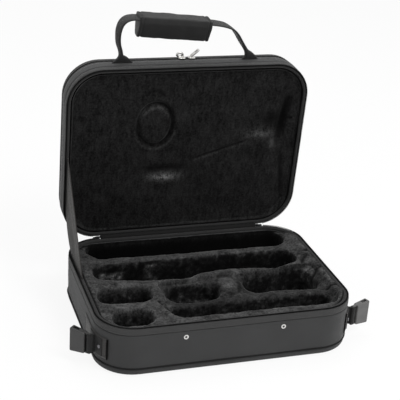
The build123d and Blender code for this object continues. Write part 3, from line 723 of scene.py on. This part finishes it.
POCKET_TOP = POCKET_HIGH + SEAT + POCKET_PANEL
panel_profile = smooth_profile(
    [(-CAP_INSET, POCKET_HIGH + SEAT), (-POCKET_INSET - 1 * MM, POCKET_HIGH + SEAT),
     (-POCKET_INSET + 0.2 * MM, POCKET_HIGH + 1.2 * MM),
     (-POCKET_INSET - 0.2 * MM, POCKET_HIGH + 2.4 * MM),
     (-POCKET_INSET - 2 * MM, POCKET_TOP - 0.9 * MM), (-POCKET_INSET - 5 * MM, POCKET_TOP),
     (-POCKET_INSET - 14 * MM, POCKET_TOP + 0.8 * MM), (-28 * MM, POCKET_TOP + 1.5 * MM),
     (-44 * MM, POCKET_TOP + 2 * MM)],
    step=2.5 * MM,
)
stated(band("pocket_front", LID, panel_profile, POCKET_CLOTH, closed=False, lids=True),
       "lid", "nylon", "pocket_panel")

stated(zip_teeth(
    "pocket_coil", LID, -POCKET_INSET - 0.6 * MM, -POCKET_INSET + 0.9 * MM,
    POCKET_ZIP - 1.1 * MM, POCKET_ZIP + 1.1 * MM,
    STRAIGHT_X + ARC + POCKET_ZIP_DROP - CORNER,
    GIRTH - (STRAIGHT_X + ARC + POCKET_ZIP_DROP - CORNER),
), "lid", "coil", "pocket_zip_coil")

# ======== fitted tray
def to_lid(points):
    """Points of the case's frame, in the lid's own."""
    inverse = np.array(LID.inverted())
    return points @ inverse[:3, :3].T + inverse[:3, 3]


def corner_reach(points):
    """How far each point lies from the middle lines that the outline's corners turn about."""
    beyond = np.maximum(np.abs(points[:, :2]) - (STRAIGHT_X, STRAIGHT_Y), 0)
    return np.linalg.norm(beyond, axis=1)


def warped_tray(points):
    """Moves the plush edges off their straight lines, as foam under pile settles."""
    x, y, z = points.T / MM
    top = smooth_step(z, 18, 50)
    # The near edge of the second trough wanders along the tray.
    edge_x = (-160, -141, -97, -79, -23, -6, 40, 102, 128, 160)
    edge_shift = (0, 2, -5, -11, -12.5, -3, 3, -7, 2, 0)
    shift = np.interp(x, edge_x, edge_shift)
    near = np.where(y < 10.7, smooth_step(y, -10.3, 8), fall(y, 12, 34))
    points[:, 1] += shift * near * (0.35 + 0.65 * top) * MM
    # The second trough reaches a little further left, and the two front pockets too.
    left_end = fall(x, -138, -112) * window(y, 0, 10, 46, 56)
    points[:, 0] -= left_end * smooth_step(x, -158, -148) * 5.5 * MM
    pocket = fall(x, -96, -80) * fall(y, -70, -60) * smooth_step(x, -155, -146)
    points[:, 0] -= pocket * 3 * MM
    # The first trough reaches further back, and its near edge runs slantwise.
    rear = window(y, 96, 110, 112, 120)
    points[:, 1] += rear * top * 4.5 * MM
    near = window(y, 64, 74, 80, 100)
    points[:, 1] += near * top * np.interp(x, (-165, -127, -57, 16), (14, 12, 5, 1)) * MM
    # The bell's pocket opens out towards the back at its right end.
    behind = window(y, -28, -9, -6, 12) * fall(x, 148, 158)
    points[:, 1] += behind * np.interp(x, (56, 90, 110, 150), (0, 3, 8, 9)) * MM
    ahead = window(y, -66, -47, -44, -28)
    points[:, 1] += ahead * np.interp(x, (46, 74, 88, 110, 140), (0, 6, 6.5, 2, -2)) * MM
    # The well's left side runs slantwise.
    beside = window(x, -100, -74, -64, -46)
    along_front = window(y, -104, -92, -58, -50)
    points[:, 0] += beside * along_front * np.interp(y, (-97, -52), (0, -14)) * MM
    return points


# Where the padding at the right end is creased, from and to, in plan.
FOLDS = (((157, 42), (165, 37)), ((137, -46), (149, -20)), ((149, -20), (158, -12)),
         ((158, -12), (172, -12)), ((157, 30), (142, 6)), ((150, -60), (163, -66)),
         ((120, 44), (128, 20)), ((167, -47), (163, -80)))


def sculpted_tray():
    tray = remeshed("tray_insert", "tray_plush", PLUSH, 1.7 * MM, 7)
    points = warped_tray(points_of(tray))
    x, y, z = points.T / MM
    # A raised shelf in the left end of the second trough.
    shelf = fall(x, -101, -94) * window(y, 6, 14, 48, 54)
    low = shelf * (z < 34)
    deep = fall(z, 47, 59)
    # Painted light: the ridge tops and the shelf are painted lighter, the deep troughs painted
    # darker as shade, most of all towards the back.
    rub = 0.4 * smooth_step(z, 56, 61) - 0.55 * deep + 0.4 * low
    rub -= 1.3 * deep * smooth_step(y, 70, 78) + 0.35 * deep * smooth_step(y, 0, 10)
    points[:, 2] += low * np.clip(31 - z, 0, 12) * MM
    # Painted highlights on the far walls of the second trough and of the barrel's pocket, where
    # light falls on them.
    second = window(y, 46, 56, 62, 68) * fall(z, 54, 60)
    rub += 2.4 * fall(x, -104, -94) * second * fall(z, 48, 52)
    rub += 1.8 * np.exp(-(((x + 63) / 10) ** 4)) * second
    rub += 0.6 * hump(x, -4, 6) * second
    far_wall = window(y, -30, -20, -4, 3) * fall(z, 42, 49)
    for at in (-39, -15):
        rub += 0.8 * hump(x, at, 3) * far_wall
    # The saddle between the barrel's and the bell's pockets stands up in folds.
    plan = points[:, :2] / MM
    rim_reach = corner_reach(points)
    saddle = hump(x, 24, 13) * hump(y, -24, 22) * (z > 45)
    points[:, 2] += saddle * 6.5 * MM
    mound = np.sqrt(((x - 25) / 14) ** 2 + ((y + 24) / 22) ** 2)
    # Painted light on the saddle: painted shade round its foot and along a crease, a painted
    # highlight on its top.
    rub -= 0.6 * hump(mound, 1.1, 0.1) * (z > 45)
    rub += 0.6 * hump(mound, 0, 0.85) * (z > 45)
    rub -= 1.3 * crease(plan, (44, -12), (33, -44), 2.2) * (z > 45)
    # The ridge between the barrel's pocket and the well has sunk, and is painted darker.
    sunk = hump(x, -30, 26) * hump(y, -56, 11) * (z > 40)
    points[:, 2] -= sunk * 3 * MM
    rub -= sunk * 0.6
    folds = np.sin((x - 0.35 * y) / 2.6) * saddle
    points[:, 2] += folds * 0.7 * MM
    # The soft wall at the right end, creased where it was folded in.
    end_wall = smooth_step(x, 146, 158) * (z > 40)
    points[:, 2] += end_wall * 2.2 * MM
    for start, end in FOLDS:
        fold = crease(plan, start, end, 2.7) * (z > 40)
        points[:, 2] -= fold * 2.6 * MM
        # Painted shade in each crease.
        rub -= fold * 1.5
    # Painted highlights on the end wall, where light falls on it.
    rub += 0.8 * hump(x, 150, 8) * hump(y, -6, 17) * (z > 36) * (z < 59)
    rub += 0.55 * hump(x, 164, 9) * hump(y, -42, 17) * (z > 45)
    # The padding rolls over the bound rim at the right, and stays inside it elsewhere.
    from_side = HALF_WIDTH / MM - x
    rolled = smooth_step(x, 120, 160) * smooth_step(y, -112, -80) * smooth_step(z, 54, 60)
    rolled *= fall(from_side, 10, 26)
    points[:, 0] += rolled * 3.2 * MM
    points[:, 2] += rolled * 1.8 * MM
    set_points(tray, points)
    # Uneven stuffing and combed pile.
    points, normals = points_of(tray), normals_of(tray)
    lumps = cloud(points, 34 * MM, 1) * 0.9 + cloud(points, 11 * MM, 2) * 0.55
    tufts = cloud(points, 3.2 * MM, 3, octaves=3) * 0.42
    inside = smooth_step(points[:, 2], TRAY_FOOT + 2 * MM, TRAY_FOOT + 8 * MM)
    points += normals * ((lumps + tufts) * inside)[:, None] * MM
    set_points(tray, points)
    # Painted shade: steep walls and the gap beside the bound rim are painted dark.
    steep = fall(normals[:, 2], 0.3, 0.8)
    back = smooth_step(y, 2, 10)
    steep *= back + (1 - back) * fall(z, 50, 55)
    rub -= steep * (0.25 + 0.6 * back + 0.5 * smooth_step(y, 68, 76))
    # Random blotches of tone over the deep and steep parts.
    blotches = cloud(points, 7 * MM, 13) * 1.3 * np.clip(deep + steep, 0, 1)
    rub += blotches * (1 - 0.6 * smooth_step(y, 68, 76))
    rub -= 1.8 * smooth_step(rim_reach, CORNER - 11.5 * MM, CORNER - 8.5 * MM)
    rubbed_by(tray, rub + cloud(points, 16 * MM, 11) * 0.35)
    stated(tray, "base", "plush", "tray_insert")


sculpted_tray()


# ======== lid lining
# Dents and swellings of the lining: x, height from the hinge, their reach each way, their rise
# and their painted light: a painted highlight above 0, painted shade below.
LINING_SPOTS = (
    # A key guard's dent, with a painted highlight on its lower lip and painted shade above it.
    (-29, 87, 26, 6, 3.4, 0), (-29, 98, 26, 6, -3.4, 0), (-29, 86, 21.974, 8, 0, 1.9),
    (-29, 100, 26, 6, 0, -0.9),
    # A slack fold at the right, with a painted highlight below and painted shade above.
    (113, 147, 24, 8, 4.6, 0), (108, 146, 22, 8, 0, 1.2), (128, 171, 17, 9, 0, -0.8),
)
# Creases: from, to, width and depth.
LINING_CREASES = (
    ((147, 206), (137, 136), 6.5, 5.5), ((6, 110), (93, 137), 2.4, 2.0),
    ((144, 124), (155, 36), 3.0, 2.2), ((150, 169), (165, 169), 2.0, 2.4),
)
# Painted shade along the creases and painted highlights beside them: from, to, width and painted
# light.
LINING_PAINTED_LINES = (
    ((147, 204), (137, 136), 6.5, -1.6), ((132, 141), (127, 122), 4.5, 0.8),
    ((6, 110), (93, 137), 1.6, -0.9), ((6, 107), (93, 134), 1.8, 0.5),
    ((144, 124), (155, 36), 2.4, -0.9), ((148, 169), (166, 169), 1.6, -1.2),
)


def sculpted_lining():
    lining = remeshed("lid_lining", "lid_lining_plush", LINING, 1.9 * MM, 3)
    points = to_lid(points_of(lining))
    x, out = points[:, 0] / MM, points[:, 2] / MM
    up = (HALF_DEPTH - points[:, 1]) / MM
    front = fall(out, 9.5, 13)
    plan = np.stack([x, up], axis=1)
    # The bell's ring pressed into the pile, its swollen middle, and an arch over it.
    ring = np.sqrt(((x + 46) / 28) ** 2 + ((up - 168) / 35) ** 2)
    arch = np.sqrt(((x + 48.5) / 12) ** 2 + ((up - 211) / 9) ** 2)
    rise = 2.0 * hump(ring, 0, 0.6) + 1.3 * hump(ring, 1.07, 0.1) - 1.7 * hump(ring, 0.88, 0.1)
    rise += 1.6 * hump(arch, 1, 0.16) * smooth_step(up, 210, 216)
    # Painted highlights on the ring's lower rim and inside its upper part, painted shade in its
    # groove and along the arch.
    rub = 0.5 * hump(ring, 1.06, 0.07) * (up < 160)
    rub += 0.9 * hump(ring, 0.74, 0.09) * smooth_step(up, 172, 190)
    rub -= 0.6 * hump(ring, 0.93, 0.09) * fall(up - 1.2 * x, 235, 275)
    rub -= 0.7 * hump(arch, 1, 0.2) * smooth_step(up, 210, 214)
    for at_x, at_up, wide, high, height, shade in LINING_SPOTS:
        spot = hump(x, at_x, wide) * hump(up, at_up, high)
        rise += height * spot
        rub += shade * spot
    for start, end, width, depth in LINING_CREASES:
        rise -= depth * crease(plan, start, end, width)
    for start, end, width, shade in LINING_PAINTED_LINES:
        rub += shade * crease(plan, start, end, width)
    rubbed_by(lining, rub)
    # The cloth climbs a little into its edge all round.
    edge_x = smooth_step(np.abs(x), 148, 166)
    edge_y = smooth_step(np.abs(up - 127.5), 104, 121)
    rise += 2.6 * np.maximum(edge_x, edge_y)
    points[:, 2] -= rise * front * MM
    lumps = cloud(points, 45 * MM, 5) * 0.7 + cloud(points, 13 * MM, 6) * 0.3
    tufts = cloud(points, 3.4 * MM, 7, octaves=3) * 0.22
    points[:, 2] += (lumps + tufts) * front * MM
    forward = np.array(LID)
    set_points(lining, points @ forward[:3, :3].T + forward[:3, 3])
    stated(lining, "lid", "lining", "lid_lining")


sculpted_lining()

# The padded cove between the lining and the lid's bound rim.
cove_profile = smooth_profile(
    [(-LID_WALL - 0.2 * MM, 9 * MM), (-LID_WALL - 0.2 * MM, 1.4 * MM), (-6.9 * MM, 0.9 * MM),
     (-8 * MM, 1.6 * MM), (-9.2 * MM, 3.4 * MM), (-11 * MM, 5.6 * MM), (-14.5 * MM, 7 * MM),
     (-14.5 * MM, 9 * MM)], step=1.2 * MM)
cove = band("lid_cove", LID, list(reversed(cove_profile)), LINING,
            push=wobble(30 * MM, 20 * MM, 0.5 * MM, 41))
cove_reach = corner_reach(to_lid(points_of(cove)))
# Painted light: the cove is painted a little lighter, and painted dark as shade where it meets the
# lid's bound rim.
rubbed_by(cove, 0.25 - 2.2 * smooth_step(cove_reach, CORNER - 8.6 * MM, CORNER - 7.4 * MM))
stated(cove, "lid", "lining")

# ======== fabric hinge and stay
def cloth_sheet(name, grid, thickness, material):
    """A sheet of cloth with two faces and a rim, from a grid of middle points."""
    middle = np.array([[tuple(point) for point in row] for row in grid])
    by_row = np.concatenate([middle[:1], middle, middle[-1:]])
    by_column = np.concatenate([middle[:, :1], middle, middle[:, -1:]], axis=1)
    normal = np.cross(by_row[2:] - by_row[:-2], by_column[:, 2:] - by_column[:, :-2])
    normal *= thickness / 2 / np.linalg.norm(normal, axis=2, keepdims=True)
    index = np.arange(middle[..., 0].size).reshape(middle.shape[:2])
    a, b, c, d = (part.ravel() for part in (index[:-1, :-1], index[:-1, 1:], index[1:, :-1],
                                            index[1:, 1:]))
    rim = np.concatenate([index[:, 0], index[-1, 1:], index[-2::-1, -1], index[0, -2:0:-1]])
    after, under = np.roll(rim, -1), index.size
    faces = np.concatenate([np.stack(corners, axis=1) for corners in (
        (a, c, d, b), (under + a, under + b, under + d, under + c),
        (after, rim, under + rim, under + after),
    )])
    along = np.stack([np.linalg.norm(middle - middle[:, :1], axis=2),
                      np.linalg.norm(middle - middle[:1], axis=2), 0 * middle[..., 0]], axis=2)
    vertices = np.concatenate([middle + normal, middle - normal]).reshape(-1, 3)
    return make_piece(name, vertices, faces.tolist(), material, along=np.stack([along, along]))


def bezier(a, b, c, steps):
    """Points of a curve from a to c that leans towards b."""
    points = []
    for i in range(steps + 1):
        t = i / steps
        points.append(a * (1 - t) ** 2 + b * 2 * t * (1 - t) + c * t * t)
    return points


def hinge_cloth():
    inset = TAPE_THICKNESS / 2
    foot = Vector((0, HALF_DEPTH - inset, BASE_SEAM + 0.3 * MM))
    top = lid_point(0, inset, TAPE_HEIGHT - 0.3 * MM)
    corner = Vector((0, HALF_DEPTH - inset, lid_point(0, inset, 0).z))
    below = foot.lerp(corner, 0.7)
    above = corner.lerp(top, 0.3)
    line = [foot.lerp(below, i / 5) for i in range(5)]
    line += bezier(below, corner, above, 8)
    line += [above.lerp(top, i / 4) for i in range(1, 5)]
    columns = 80
    width = 2 * HINGE_HALF - 0.6 * MM
    grid = []
    for point in line:
        grid.append([])
        for x in (width * (j / columns - 0.5) for j in range(columns + 1)):
            wave = 0.25 * MM * noise.noise(Vector((x / (9 * MM), point.z / (5 * MM), 4)))
            grid[-1].append((x, point.y + wave, point.z - wave))
    cloth = cloth_sheet("hinge_cloth", grid, 1.4 * MM, BINDING)
    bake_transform(cloth)
    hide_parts("hinge_panel")


hinge_cloth()


def stay_cloth():
    low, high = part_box("lid_stay")
    middle_x = (low.x + high.x) / 2
    front_low = Vector((middle_x, 11 * MM, low.z))
    rear_low = Vector((middle_x, 84 * MM, low.z))
    front_high = lid_point(middle_x, 128 * MM, -0.2 * MM)
    rear_high = lid_point(middle_x, 46 * MM, -0.2 * MM)
    front_pull = (front_low + front_high) / 2 + Vector((0, -9, -9)) * MM
    rear_pull = (rear_low + rear_high) / 2 + Vector((0, 13, -9)) * MM
    steps, columns = 46, 24
    edges = zip(bezier(front_low, front_pull, front_high, steps),
                bezier(rear_low, rear_pull, rear_high, steps))
    grid = []
    for i, (front, rear) in enumerate(edges):
        rise = i / steps
        grid.append([])
        for share in (j / columns for j in range(columns + 1)):
            point = front.lerp(rear, share)
            fold = noise.noise(Vector((share * 3.1, rise * 1.7, 2.5)))
            point.x += sin(pi * rise) * sin(pi * share) * (1.1 + 2.6 * fold) * MM
            grid[-1].append(point)
    cloth = cloth_sheet("stay_cloth", grid, 1.0 * MM, STAY_CLOTH)
    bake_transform(cloth)
    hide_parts("lid_stay")


stay_cloth()


# ======== handle
def handle_point(x, height, out=0.0):
    """A point across, above the open lid's top and out from the handle's middle plane."""
    return lid_point(x, 2 * HALF_DEPTH + height, HANDLE_FROM_RIM + out)


def handle_strap():
    """Flat webbing over the grip, folded lengthwise down its legs to two sewn feet."""
    # x and height of the middle line, half its thickness, half its width, and its twist.
    route = [
        (-94.0, -0.6, 15.5, 1.5, 0), (-94.4, 2.5, 12.6, 2.2, 0), (-95.2, 6.5, 8.2, 3.4, 0),
        (-96.2, 11, 3.1, 4.6, 6), (-97.6, 18, 1.9, 5.6, 14), (-100.5, 27, 1.7, 6, 18),
        (-101.5, 36, 1.7, 6.3, 18), (-101.0, 46.5, 1.7, 7.4, 16), (-97.8, 56, 1.6, 9, 9),
        (-91.4, 61.8, 1.5, 10.5, 3), (-83, 63.6, 1.4, 11.6, 0), (-74, 63.2, 1.3, 12, 0),
        (-26, 59, 1.3, 12, 0), (22, 54.6, 1.3, 12, 0), (37, 52.6, 1.3, 12, 0),
        (48, 49.8, 1.4, 11.4, 0), (57, 44.8, 1.5, 10, -4), (64, 37.4, 1.7, 8.4, -8),
        (70.5, 27.5, 1.9, 7, -10), (76.2, 19.4, 2.1, 5.8, -8), (81, 12.5, 3.0, 4.6, -4),
        (84.6, 6.8, 6.4, 3.4, 0), (86.4, 2.6, 10.2, 2.2, 0), (87, -0.6, 13.0, 1.5, 0),
    ]
    # A smooth line through those rows, with seven steps from each to the next.
    padded = np.array([route[0], *route, route[-1]])
    before, here, after, beyond = (padded[k:len(route) - 1 + k, None] for k in range(4))
    t = np.arange(7)[:, None] / 7
    fine = 0.5 * (2 * here + (after - before) * t
                  + (2 * before - 5 * here + 4 * after - beyond) * t ** 2
                  + (3 * here - before - 3 * after + beyond) * t ** 3)
    fine = [*fine.reshape(-1, 5).tolist(), route[-1]]
    side_count = 20
    rows, along, run = [], [], 0.0
    for i, (x, height, thick, wide, twist) in enumerate(fine):
        x0, h0 = fine[max(i - 1, 0)][:2]
        x1, h1 = fine[min(i + 1, len(fine) - 1)][:2]
        way = Vector((x1 - x0, h1 - h0)).normalized()
        if height < 8:
            way = way.lerp(Vector((0, 1 if x < 0 else -1)), 1 - max(height, 0) / 8).normalized()
        normal_x, normal_h = -way.y, way.x
        turn = radians(twist)
        row = []
        for corner in range(side_count):
            angle = 2 * pi * corner / side_count
            # A flat section with round edges and a slight hollow where it is folded.
            across = copysign(abs(cos(angle)) ** 0.55, cos(angle)) * wide
            over = copysign(abs(sin(angle)) ** 0.7, sin(angle)) * thick
            out = across * cos(turn) - over * sin(turn)
            rise = across * sin(turn) + over * cos(turn)
            row.append(handle_point((x + normal_x * rise) * MM, (height + normal_h * rise) * MM,
                                    out * MM))
            along.append((run, across * MM, 0))
        rows.append(row)
        run += hypot(x1 - x0, h1 - h0) / 2 * MM
    strap = swept("handle_webbing", rows, WEBBING, closed_rows=True, along=along, caps=True)
    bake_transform(strap)
    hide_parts("handle_strap", "handle_foot_left", "handle_foot_right")


handle_strap()


def handle_grip():
    """A padded wrap closed under the strap, bound at both ends."""
    left, right = Vector((-76, 63.5)), Vector((24, 54.5))
    way = (right - left).normalized()
    up = Vector((-way.y, way.x))
    length = (right - left).length
    corners = [Vector(c) for c in ((-12, 5), (12, 5), (15, -2.6), (7, -25), (-7, -25), (-15, -2.6))]
    section = []
    for before, corner, after in zip(corners[-1:] + corners, corners, corners[1:] + corners[:1]):
        section += bezier(corner.lerp(before, 0.18), corner, corner.lerp(after, 0.18), 5)
    middle = Vector((0, -8))
    rows, along = [], []
    # Shares of the pad's length and its size there: it is pinched where it is bound.
    ends = ((0, 0.8), (0.006, 0.985), (0.02, 1.0), (0.036, 0.99), (0.046, 0.93), (0.056, 0.985))
    shares = [0.075 + 0.85 * i / 34 for i in range(35)]
    sizes = [*ends, *((share, 1 + 0.012 * sin(pi * share)) for share in shares),
             *((1 - share, size) for share, size in reversed(ends))]
    for share, size in sizes:
        at = left + way * length * share
        row = []
        run = 0.0
        for j, point in enumerate(section):
            spot = middle + (point - middle) * size
            wrinkle = noise.fractal(Vector((share * 5, point.x / 14, point.y / 14)), 0.6, 2.0, 3)
            spot = spot + (point - middle).normalized() * wrinkle * 0.7 * (1 if size > 0.9 else 0)
            centre = at + up * spot.y
            row.append(handle_point(centre.x * MM, centre.y * MM, spot.x * MM))
            run += (point - section[j - 1]).length * MM
            along.append((share * length * MM, run, 0))
        rows.append(row)
    grip = swept("handle_pad", rows, GRIP_CLOTH, closed_rows=True, along=along, caps=True)
    stated(grip, "handle", "grip", "handle_grip")
    for word, share in (("left", 0.03), ("right", 0.97)):
        at = left + way * length * share
        path, ups = [], []
        for point in section + section[:1]:
            centre = at + up * point.y
            path.append(handle_point(centre.x * MM, centre.y * MM, point.x * MM))
            away = point - middle
            ups.append(LID_OUT * away.x + LID_UP * away.y)
        row = stitches(f"grip_stitches_{word}", path, ups)
        stated(row, "handle", "grip")


handle_grip()


# ======== patches, tabs, buckles
def wall_path(side, out, height, front_angle, rear_y):
    """Points and directions along the wall from an angle on a front corner to rear_y."""
    points, ups = [], []
    centre = Vector((side * STRAIGHT_X, -STRAIGHT_Y))
    for i in range(13):
        angle = radians(front_angle * (1 - i / 12))
        way = Vector((side * cos(angle), -sin(angle)))
        points.append(Vector((*(centre + way * (CORNER + out)), height)))
        ups.append(Vector((*way, 0)))
    points.append(Vector((side * (HALF_WIDTH + out), rear_y, height)))
    ups.append(Vector((side, 0, 0)))
    return points, ups


def rope(name, path, ups, wide, thick, material):
    """A flat tube along a polyline, closed at both ends."""
    rows = []
    for i, point in enumerate(path):
        way = (path[min(i + 1, len(path) - 1)] - path[max(i - 1, 0)]).normalized()
        side = way.cross(ups[i]).normalized()
        row = []
        for corner in range(10):
            angle = 2 * pi * corner / 10
            row.append(point + side * wide * cos(angle) + ups[i] * thick * sin(angle))
        rows.append(row)
    return swept(name, rows, material, closed_rows=True, caps=True)


def side_patch(side, word):
    """A coated patch with a turned edge, sewn round and held by two rivets; a dark strip along its
    front edge is painted shadow.
    """
    node = f"side_patch_{word}"
    low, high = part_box(node)
    columns, rows_count = 40, 12
    grid = []
    path, ups = wall_path(side, 0.0, 0.0, 40, high.y)
    total, sample = walk(path, ups)
    for rise in (i / rows_count for i in range(rows_count + 1)):
        grid.append([])
        for share in (j / columns for j in range(columns + 1)):
            at, way = sample(total * share)
            edge = min(rise, 1 - rise, share, 1 - share)
            at = at + way * (0.85 + 0.45 * min(1.0, edge / 0.06)) * MM
            grid[-1].append((at.x, at.y, low.z + (high.z - low.z) * rise))
    patch = cloth_sheet(f"corner_patch_{word}", grid, 0.9 * MM, PATCH_CLOTH)
    stated(patch, "base", "patch", node)
    # Painted shadow: a dark strip along the patch's front edge stands for the gap between patch and
    # case.
    edge_points, edge_ways = wall_path(side, 1.5 * MM, low.z, 40, high.y)
    edge = [edge_points[0], edge_points[0] + Vector((0, 0, high.z - low.z))]
    front = rope(f"patch_shadow_strip_{word}", edge, [edge_ways[0]] * 2, 1.1 * MM, 0.7 * MM, SHADOW_STRIP)
    stated(front, "base", "patch")
    inset = 2.8 * MM
    points, ways = wall_path(side, 1.75 * MM, low.z + inset, 38, high.y - inset)
    lift = Vector((0, 0, high.z - low.z - 2 * inset))
    for name, line, line_ways in (
        ("low", points, ways), ("high", [point + lift for point in points], ways),
        ("front", [points[0], points[0] + lift], [ways[0]] * 2),
        ("rear", [points[-1], points[-1] + lift], [ways[-1]] * 2),
    ):
        row = stitches(f"patch_stitches_{word}_{name}", line, line_ways)
        stated(row, "base", "patch")


for side, word in ((-1, "left"), (1, "right")):
    side_patch(side, word)


def finish_node(node, material):
    """A CAD node that shows as it is, with a better material."""
    piece = frame["nodes"][node]
    for slot in piece.material_slots:
        slot.material = material


def buckle_shell(word, material):
    """A buckle's CAD shape with its sharp edges softened."""
    node = f"buckle_{word}"
    piece = copy_node(node, f"buckle_shell_{word}", material)
    modify(piece, "WELD", merge_threshold=0.01 * MM)
    modify(piece, "BEVEL", width=0.5 * MM, segments=2, limit_method="ANGLE",
           angle_limit=radians(30), use_clamp_overlap=True)
    for polygon in piece.data.polygons:
        polygon.use_smooth = True
    modify(piece, "WEIGHTED_NORMAL", weight=60)
    stated(piece, node, "buckle", node)


def ring_pull():
    """The left pocket pull, lying on its slider: a stout cast ring."""
    node = "pocket_pull_left"
    low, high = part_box(node)
    root = Vector((high.x, (low.y + high.y) / 2, low.z + 1.3 * MM))
    slope = radians(6)
    way = Vector((-cos(slope), 0, sin(slope)))
    rise = Vector((sin(slope), -0.2, cos(slope))).normalized()
    across = way.cross(rise).normalized()
    rows = []
    for step in range(25):
        angle = 2 * pi * step / 24
        reach = 4.8 + 4.2 * cos(angle)
        lift = 0.8 + (2.9 - 0.7 * cos(angle)) * sin(angle)
        centre = root + (way * reach + rise * lift) * MM
        out = (way * cos(angle) + rise * sin(angle)).normalized()
        rows.append([centre + (out * cos(a) + across * sin(a)) * 1.5 * MM
                     for a in (2 * pi * k / 10 for k in range(10))])
    ring = swept("pull_ring_left", rows, NICKEL, closed_rows=True)
    modify(ring, "WELD", merge_threshold=0.02 * MM)
    stated(ring, node, "nickel", node)


ring_pull()

# The left buckle takes the acetal painted darker as shade.
for word, acetal in (("left", SHADE_PAINTED_BUCKLE), ("right", BUCKLE)):
    finish_node(f"strap_tab_{word}", TAB_WEBBING)
    buckle_shell(word, acetal)
    finish_node(f"pocket_slider_{word}", NICKEL)
    finish_node(f"main_slider_{word}", GUNMETAL)
    finish_node(f"main_pull_{word}", GUNMETAL)
finish_node("pocket_pull_right", NICKEL)
finish_node("patch_rivets", GUNMETAL)
finish_node("front_eyelets", NICKEL)

# ======== stage, light and camera
FLOOR_SIZE = 12.0
WHITE_SHARE = 0.88
AMBIENT = 0.55
# Each light's name, place, target, size and power.
LIGHTS = (
    ("key", (0.75, -1.25, 1.9), (0, 0, 0.1), 1.0, 27),
    ("fill", (-1.5, -1.2, 1.3), (0, 0, 0.15), 1.6, 2.0),
    ("top", (0.1, 0.6, 2.2), (0, 0, 0.1), 1.6, 14),
)
LENS = 98.38
SENSOR = 36.0
CAMERA_AT = Vector((-0.4398, -1.2386, 0.7553))
CAMERA_RIGHT = Vector((0.95267, -0.29770, 0.06156))
CAMERA_DOWN = Vector((-0.06727, -0.40390, -0.91233))
CAMERA_AHEAD = Vector((0.29647, 0.86501, -0.40481))


def lit_or_seen(tree, lit, seen, share=1.0):
    """Mixes what lights the part with what the camera, glossy and transmitted rays see."""
    rays = add_node(tree, "LightPath").outputs
    looked = math_node(tree, "MAXIMUM", rays["Is Camera Ray"], rays["Is Glossy Ray"])
    looked = math_node(tree, "MAXIMUM", looked, rays["Is Transmission Ray"])
    looked = math_node(tree, "MULTIPLY", looked, share)
    return add_node(tree, "MixShader", {0: looked, 1: lit, 2: seen}).outputs[0]


def build_stage():
    material, tree, shader = new_material("paper_floor", 0.9, specular=0.1)
    shader.inputs["Base Color"].default_value = (0.92, 0.92, 0.92, 1)
    glow = add_node(tree, "Emission", {"Color": (1, 1, 1, 1), "Strength": 1.0})
    surface = lit_or_seen(tree, shader.outputs[0], glow.outputs[0], WHITE_SHARE)
    tree.links.new(surface, tree.nodes["Material Output"].inputs["Surface"])
    half = FLOOR_SIZE / 2
    corners = [(-half, -half, 0), (half, -half, 0), (half, half, 0), (-half, half, 0)]
    floor = make_piece("floor", corners, [(0, 1, 2, 3)], material, smooth=False)
    world = bpy.data.worlds.new("studio")
    bpy.context.scene.world = world
    world.use_nodes = True
    tree = world.node_tree
    soft = tree.nodes["Background"]
    soft.inputs["Color"].default_value = (1, 1, 1, 1)
    soft.inputs["Strength"].default_value = AMBIENT
    white = add_node(tree, "Background", {"Strength": 1.0})
    surface = lit_or_seen(tree, soft.outputs[0], white.outputs[0])
    tree.links.new(surface, tree.nodes["World Output"].inputs["Surface"])


def area_light(name, at, target, size, power):
    data = bpy.data.lights.new(name, "AREA")
    data.shape = "DISK"
    data.size = size
    data.energy = power
    lamp = linked(name, data)
    lamp.location = at
    lamp.rotation_euler = (Vector(target) - Vector(at)).to_track_quat("-Z", "Y").to_euler()


def build_camera():
    data = bpy.data.cameras.new("camera")
    data.lens = LENS
    data.sensor_width = SENSOR
    camera = linked("camera", data)
    turn = Matrix((CAMERA_RIGHT, -CAMERA_DOWN, -CAMERA_AHEAD)).transposed()
    camera.matrix_world = Matrix.Translation(CAMERA_AT) @ turn.to_4x4()
    bpy.context.scene.camera = camera


build_stage()
for light in LIGHTS:
    area_light(*light)
build_camera()
bpy.context.scene.view_settings.view_transform = "Standard"
